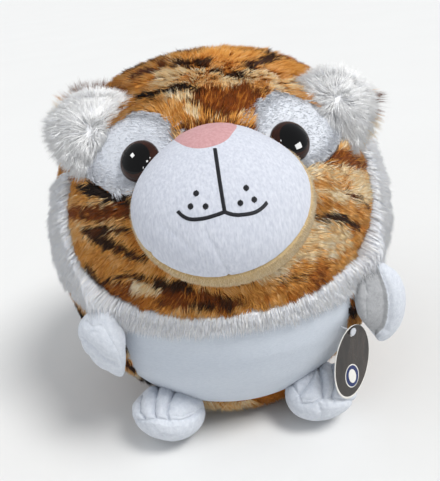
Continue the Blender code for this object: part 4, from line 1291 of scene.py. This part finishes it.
def pad_scatter(count, seed, sizes, place):
    """Fibre roots over a pad, with their normals and unit directions, where they stand clear of the ball."""
    d = scatter_ball(count, seed)
    n = d / np.array((sizes["half_width"], sizes["half_thickness"], sizes["length"] / 2))
    world = to_world(pad_points(d, **sizes), place)
    normal = unit(n) @ axes_of(place).T
    clear = ~inside_ball(world, 0.004)
    return world[clear], normal[clear], d[clear]


def ear_place(name, side):
    wide, high = RADIUS + TIGER_PILE, RISE + TIGER_PILE
    ends = [Vector((wide * x, wide * y, high * z)) + Vector(CENTRE) for x, y, z in EARS[name]["seam"]]
    direction = Vector((side * 0.81, 0.14, 0.53)).normalized()
    return frame_of((ends[0] + ends[1]) / 2, side * (ends[1] - ends[0]), -direction)


def make_ear_cloth(name, place):
    mesh = tube_mesh(f"ear_cloth_{name}", pad_points(sphere_grid(90, 110), **EAR_CLOTH))
    set_looks(mesh, np.array([f.center.y for f in mesh.polygons]) < 0)
    looks = [WHITE_BACKING, TIGER_CLOTH]
    made = add_piece(f"ear_cloth_{name}", mesh, looks, f"ear_{name}", place)
    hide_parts(f"ear_{name}_front", f"ear_{name}_back")


def make_ear_fur(name, side, place):
    """White fur on the ear's front, with a tuft in its middle, and the tiger's fur on its back."""
    roots, normals, at = pad_scatter(30000, 71 + side, EAR_FUR, place)
    middle = to_world(np.array((0, 0.004, EARS[name]["heart"])), place)
    away = unit(roots - middle)
    heart = fade(np.linalg.norm(roots - middle, axis=1), 0.011)
    nap = away + np.array((side * 0.15, 0, -0.25)) + 0.20 * noise_vector(roots, 0.012, 75)
    nap += 1.6 * heart[:, None] * noise_vector(roots, 0.0035, 76)
    peek = smoothstep(0.1, 0.7, away @ np.array(EARS[name]["peek"]))
    length = 0.0160 + 0.0055 * (1 - np.abs(at[:, 1])) - 0.0060 * smoothstep(0.0, 0.9, away[:, 2])
    body, how = f"ear_{name}", dict(width=0.00052, seed=73 + side, clump=0.48, spread=0.09, wild=0.12)

    on = at[:, 1] > EAR_RIM
    looks = np.where(white_looks(on.sum(), 5) == 3, 0, 2)
    long = (length - 0.0030 * peek)[on]
    fur(f"ear_fur_{name}_front", body, "white", roots[on], normals[on], nap[on], looks, long,
        rise=((22 + 16 * heart)[on], (5 + 12 * heart)[on]), **how)

    on = ~on
    looks = np.clip(stripes(roots[on]) + 2, 2, 7)
    long = (length + (0.0080 * peek - 0.0025))[on]
    fur(f"ear_fur_{name}_back", body, "tiger", roots[on], normals[on], nap[on], looks, long, rise=(24, 2),
        bent=False, **how)


def make_ear(name, side):
    place = ear_place(name, side)
    make_ear_cloth(name, place)
    make_ear_fur(name, side, place)


def make_tail():
    z = MIDDLE - 0.022
    reach = float(ball_reach(TIGER_PILE, np.array(z))) - 0.002
    place = frame_of((0, reach, z), (1, 0, 0), (0, 0, 1))
    sizes = dict(length=0.1150, half_width=0.0130, half_thickness=0.0130, root=0.0150)
    mesh = tube_mesh("tail_cover", pad_points(sphere_grid(80, 60), **sizes, out=-0.003))
    made = add_piece("tail_cover", mesh, [TIGER_CLOTH], "tail", place)
    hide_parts("tail", "tail_filling")
    sizes.update(half_width=0.010, half_thickness=0.010)
    roots, normals, _ = pad_scatter(11000, 81, sizes, place)
    nap = np.broadcast_to((0, 0, -1.0), roots.shape)
    looks = stripes(roots)
    fur("tail_fur", "tail", "tiger", roots, normals, nap, looks, 0.009, 0.0010, (40, 20), 82, bent=False)


# The ball's fur

# How far outside the filling the ball's fur is rooted, and how far across the belly its sides begin.
ROOTS_OUT = 0.0038
BELLY_SIDE = 0.0860


def under_muzzle(points):
    x, up, forward = face_coordinates(points)
    y = (up - MUZZLE_PLACE[1]) / MUZZLE_SIZE[1]
    return (forward > 0) & (np.hypot((x - MUZZLE_PLACE[0]) / muzzle_width(y), y) < 0.84)


def ball_lawn():
    """The roots of the ball's fur with their normals, places in the face's plane and panels. The lot thins
    them, the swirl bends their nap, and outward runs away from the bridge of the nose."""
    directions = scatter_ball(620000, 91)
    points = ball_point(directions, ROOTS_OUT)
    keep = ~under_muzzle(points) & (points[:, 2] > 0.002)
    directions, points = directions[keep], points[keep]
    at = regions(ball_point(directions, TIGER_PILE))
    x, up, _ = face_coordinates(points)
    patches = {name: at["face"] & (patch_share(x, up, side) < 1) for name, side in SIDES.items()}
    # High on the sides the tiger's fur laps over the ruff's outer edge.
    rim = 0.965 + 0.03 * smoothstep(-0.015, -0.045, up)
    outer_edge = at["ruff"] & (ruff_share(x, up) > rim) & (up > -0.045)
    return SimpleNamespace(
        points=points,
        normals=ball_normal(points, ROOTS_OUT),
        at=at,
        x=x,
        up=up,
        lot=np.random.default_rng(8).uniform(size=len(points)),
        swirl=noise_vector(points, 0.045, 92) * 0.5 + noise_vector(points, 0.014, 95) * 0.3,
        outward=x[:, None] * SIDEWAYS + (up - 0.012)[:, None] * UPWARD,
        patches=patches,
        outer_edge=outer_edge,
    )


def make_face_fur(lawn):
    on = lawn.at["face"] & ~lawn.patches["left"] & ~lawn.patches["right"] & (lawn.lot < 0.85)
    points, normals = lawn.points[on], lawn.normals[on]
    nap = (unit(lawn.outward) + lawn.swirl)[on]
    long = 0.0125 - 0.0050 * smoothstep(0.90, 1.0, face_share(lawn.x[on], lawn.up[on]))
    roots = points + 0.0005 * normals
    looks = markings(points, normals, nap)
    fur("face_fur", "body", "tiger", roots, normals, nap, looks, long, 0.00070, (36, 10), 100, 0.55, 0.02)


def make_patch_fur(lawn, name, side):
    """Short white fur that lies away from the eye, and longer and rougher at the patch's edge."""
    clear = np.hypot(lawn.x - side * EYE_AT[0], lawn.up - EYE_AT[1]) >= EYE_RADIUS * 0.97
    on = lawn.patches[name] & clear
    points, normals = lawn.points[on], lawn.normals[on]
    middle = side * EYE_AT[0] * SIDEWAYS + EYE_AT[1] * UPWARD
    away = unit(points - CENTRE - middle - FORWARD * (points - CENTRE) @ FORWARD[:, None] * FORWARD)
    edge = smoothstep(0.78, 1.0, patch_share(lawn.x[on], lawn.up[on], side))
    nap = away + (0.30 + 0.40 * edge[:, None]) * lawn.swirl[on]
    roots = points + 0.0016 * normals
    fur(f"patch_fur_{name}", "body", "patch", roots, normals, nap, white_looks(len(roots), 6),
        0.0062 + 0.0042 * edge, 0.00050, (17 + 12 * edge, 5 + 5 * edge), 110 + side,
        0.14 + 0.36 * edge, 0.03, spread=0.08, wild=0.01)


def make_ruff_fur(lawn, name, side):
    """Long white fur that points away from the face, and hangs over its outer seam and the arm's top."""
    on = lawn.at["ruff"] & ~lawn.outer_edge & (np.sign(lawn.x) == side) & (lawn.lot < 0.85)
    points, normals = lawn.points[on], lawn.normals[on]
    over = np.array(arm_start(name, side)[0]) + (0, 0, 0.020)
    near = fade(np.linalg.norm(points - over, axis=1), 0.017)
    high = smoothstep(-0.050, -0.010, lawn.up[on])
    nap = unit(lawn.outward[on]) + (0, 0, -0.35) + 0.45 * lawn.swirl[on] + near[:, None] * (0, 0, -3.0)
    roots = points + 0.0022 * normals
    rise = (26 + 44 * near + 14 * high, 6 - 16 * near + 16 * high)
    fur(f"ruff_fur_{name}", "body", "white", roots, normals, nap, white_looks(len(roots), 7),
        0.0130 + 0.0030 * high + 0.022 * near, 0.00060, rise, 120 + side,
        0.26 + 0.22 * high, 0.018, spread=0.13, wild=0.10)


def make_spiked_fur(lawn, name, on, low):
    """The tiger's fur as straight spikes, with a nap that runs down the ball. Low on it, the fur is longer,
    steeper and paler: its own gold, lifted two tones as painted light where the low fur lies in shade."""
    points, normals = lawn.points[on], lawn.normals[on]
    nap = (np.array((0, 0, -1.0)) + 0.25 * unit(lawn.points * (1, 1, 0) + 1e-9) + 0.7 * lawn.swirl)[on]
    looks = markings(points, normals, nap)
    if low:
        # Low fur is two tones paler: painted light against the shade under the ball.
        looks = np.clip(looks + 2, 4, 8)
    crown = smoothstep(0.225, 0.270, points[:, 2])
    rise = (34 + 8 * crown + 14 * low, 14 + 14 * crown + 8 * low)
    long = 0.0110 + 0.0020 * crown + 0.0045 * low
    fur(name, "body", "tiger", points, normals, nap, looks, long, 0.00095, rise, 138, 0.5, 0.02, bent=False)


def make_back_fur(lawn):
    """The back's fur laps over the belly's sides, and the base's fur over its lower seam."""
    x, z = lawn.x, lawn.points[:, 2]
    base_lap = lawn.at["belly"] & (z < belly_low(x) + 0.0035) & (np.abs(x) < 0.060)
    beside = (np.abs(x) > BELLY_SIDE) | (z < belly_low(np.abs(x) * BELLY_HALF / BELLY_SIDE))
    back = lawn.at["back"] | lawn.outer_edge | (lawn.at["belly"] & beside & ~base_lap)
    base = (lawn.at["base"] & (z > 0.004)) | base_lap
    make_spiked_fur(lawn, "back_fur", back & (lawn.lot < 0.5), 0)
    make_spiked_fur(lawn, "base_fur", base & (lawn.lot < 0.8), 1)


def make_ball_fur():
    lawn = ball_lawn()
    make_face_fur(lawn)
    for make in (make_patch_fur, make_ruff_fur):
        for name, side in SIDES.items():
            make(lawn, name, side)
    make_back_fur(lawn)


def make_band_fur():
    """The short curled pile of the beige band."""
    rng = np.random.default_rng(140)
    turn = rng.uniform(0, math.tau, 15000)
    edge = muzzle_edge(turn)
    angle = edge + rng.uniform(0.01, 1, len(turn)) * (math.pi * 0.68 - edge)
    p, n = muzzle_egg(polar(angle, turn))
    points = muzzle_world(p)
    normals = n[:, :1] * SIDEWAYS + n[:, 1:2] * UPWARD + n[:, 2:] * FORWARD
    keep = ~inside_ball(points, 0.002)
    points, normals = points[keep], normals[keep]
    nap = np.broadcast_to(-FORWARD, points.shape)
    looks = rng.choice(3, len(points))
    fur("band_fur", "body", "beige", points, normals, nap, looks, 0.0034, 0.0007, (60, 40), 141,
        0.3, 0.1, bent=False)


# The tag

TAG_AZIMUTH = 37.5
TAG_HEIGHT = ARM_HEIGHT - 0.046
TAG_OUT = 0.0065
TAG_SIZE = (0.0215, 0.0330)
TAG_THICKNESS = 0.0008
TAG_HOLE = 0.0021
TAG_HOLE_LOW = 0.0012
TAG_SIDES = 96
# The card's rings from its hole over the front, around its rim and back: the share of the way out, the side
# of the card as a share of half its thickness, and which look the faces to the next ring have.
TAG_RINGS = [
    (0.0, 1, 1), (0.02, 1, 0), (0.5, 1, 0), (0.965, 1, 1), (0.985, 1, 1), (1.0, 0.6, 1),
    (1.0, -0.6, 1), (0.985, -1, 1), (0.5, -1, 1), (0.0, -1, 1),
]
# A plain oval badge without words: each oval's name, half-sizes and height, from the lowest to the highest.
BADGE = [
    ("tag_oval", (0.0078, 0.0122), 0.0),
    ("tag_badge", (0.0069, 0.0113), 0.00012),
    ("tag_dot", (0.0040, 0.0076), 0.00024),
]
BADGE_TURN = 0.35
BADGE_AT = (0.001, 0.041)


def card_mesh():
    """A flat oval card with a hole near its top."""
    turn, count = circle(TAG_SIDES), len(TAG_RINGS)
    low = 0.0055 - TAG_SIZE[1] - TAG_HOLE_LOW
    rim = stacked(TAG_SIZE[0] * np.cos(turn), TAG_SIZE[1] * np.sin(turn) + low)
    hole = stacked(TAG_HOLE * np.cos(turn), TAG_HOLE * np.sin(turn) - TAG_HOLE_LOW)
    points = []
    for share, layer, _ in TAG_RINGS:
        x, y = (hole + share * (rim - hole)).T
        points.append(stacked(x, y, layer * TAG_THICKNESS / 2))
    j = np.arange(TAG_SIDES)
    k = (j + 1) % TAG_SIDES
    last = (count - 1) * TAG_SIDES
    faces = np.concatenate([grid_faces(count, TAG_SIDES, True), stacked(last + j, last + k, k, j)])
    mesh = face_mesh("tag_card", np.concatenate(points), [faces])
    set_looks(mesh, np.repeat([look for _, _, look in TAG_RINGS], TAG_SIDES))
    tidy(mesh, weld=0)
    mesh.shade_flat()
    return mesh


def badge_mesh(name, half, low):
    turn = circle(TAG_SIDES)
    rings = []
    for share, layer in ((1.0, -1), (1.0, 0.6), (0.97, 1)):
        x, y = turned(share * (half[0] * np.cos(turn)), share * (half[1] * np.sin(turn)), BADGE_TURN)
        high = TAG_THICKNESS / 2 + low + layer * 0.00006 + 0.00004
        rings.append(stacked(x - BADGE_AT[0], y - BADGE_AT[1], high))
    return tube_mesh(name, np.array(rings))


def make_tag():
    start, facing = ball_side(1, TAG_AZIMUTH, TAG_HEIGHT)
    place = frame_of(start, Vector((0, 0, 1)).cross(facing), facing) @ Matrix.Translation((0, 0, TAG_OUT))
    dark = cloth("tag_print", "3A332E", "181412", 90, 0.01, 0, 45, 0.14, stretch=(2.2, 0.5, 1))
    shader_of(dark).inputs["Coat Weight"].default_value = 0.2
    white = cloth("tag_board", "E9E7E2", "DBD8D1", 900, 0.1, 0, roughness=0.6)
    navy = cloth("tag_badge", "1E2F66", "16244F", 500, 0.02, 0, roughness=0.2)
    made = add_piece("tag_card", card_mesh(), [dark, white], "tag", place)
    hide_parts("hang_tag")
    for (name, half, low), look in zip(BADGE, (white, navy, white)):
        add_piece(name, badge_mesh(name, half, low), [look], "tag", place)


def finish_nodes():
    """Materials for the CAD nodes that stay: the washers and the tag's pin."""
    washer = cloth("washer_plastic_look", "DEDCD6", "CFCDC7", 400, 0.05, 0, roughness=0.45)
    pin = cloth("pin_plastic_look", "C6C9CE", "B5B9BF", 300, 0.03, 0, roughness=0.25)
    for name, look in (("eye_washer_left", washer), ("tag_pin", pin), ("eye_washer_right", washer)):
        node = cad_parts[name]
        node.data.materials.clear()
        node.data.materials.append(look)


# The floor and the light

FLOOR_RADIUS = 25
# The suns: where each stands, its spread in degrees, its strength and its colour. They look at the face.
SUNS = {
    "key": ((1.0, -0.8, 2.0), 20, 2.40, (1, 0.99, 0.97)),
    "fill": ((-1.4, -0.6, 1.8), 60, 0.35, (0.96, 0.98, 1)),
}
SUN_TARGET = Vector((0, 0, 0.13))


def make_floor():
    work = bmesh.new()
    bmesh.ops.create_circle(work, cap_ends=True, segments=96, radius=FLOOR_RADIUS)
    mesh = bpy.data.meshes.new("floor")
    work.to_mesh(mesh)
    work.free()
    mesh.materials.append(cloth("floor_paper", "E0E0DF", "DEDEDD", 60, 0.01, 0, patch=3, roughness=0.9))
    floor = add_object("floor", mesh)
    floor.location.z = min(0.0, CAD_BOX[0][2]) - FLOOR_GAP


def make_world():
    """A cool soft light from all around, and an even pale grey where the camera sees past the floor."""
    world = bpy.data.worlds.new("studio")
    bpy.context.scene.world = world
    world.use_nodes = True
    tree = world.node_tree
    tree.nodes.clear()
    seen = add_node(tree, "LightPath").outputs["Is Camera Ray"]
    glow = add_node(tree, "Background", {"Color": (0.93, 0.96, 1.0, 1), "Strength": 0.60}).outputs[0]
    grey = add_node(tree, "Background", {"Color": (0.91, 0.91, 0.91, 1), "Strength": 1.0}).outputs[0]
    mix = add_node(tree, "MixShader", {0: seen, 1: glow, 2: grey}).outputs[0]
    add_node(tree, "OutputWorld", {"Surface": mix})


def make_suns():
    for name, (place, spread, power, colour) in SUNS.items():
        data = bpy.data.lights.new(name, "SUN")
        data.angle = math.radians(spread)
        data.energy = power
        data.color = colour
        lamp = add_object(name, data)
        lamp.location = place
        lamp.visible_glossy = False
        lamp.rotation_euler = (SUN_TARGET - Vector(place)).to_track_quat("-Z", "Y").to_euler()


def main():
    add_camera()
    make_floor()
    make_world()
    make_suns()
    bpy.context.scene.view_settings.view_transform = "Standard"
    make_ball()
    make_face_cloth()
    make_belly()
    for name, side in SIDES.items():
        make_ruff_cloth(name, side)
        make_patch_cloth(name, side)
    front = make_muzzle()
    make_band()
    make_nose()
    make_embroidery(front)
    make_eyes()
    for make in (make_arm, make_foot, make_ear):
        for name, side in SIDES.items():
            make(name, side)
    make_tail()
    make_tag()
    make_ball_fur()
    make_band_fur()
    finish_nodes()
    bpy.context.view_layer.update()


main()
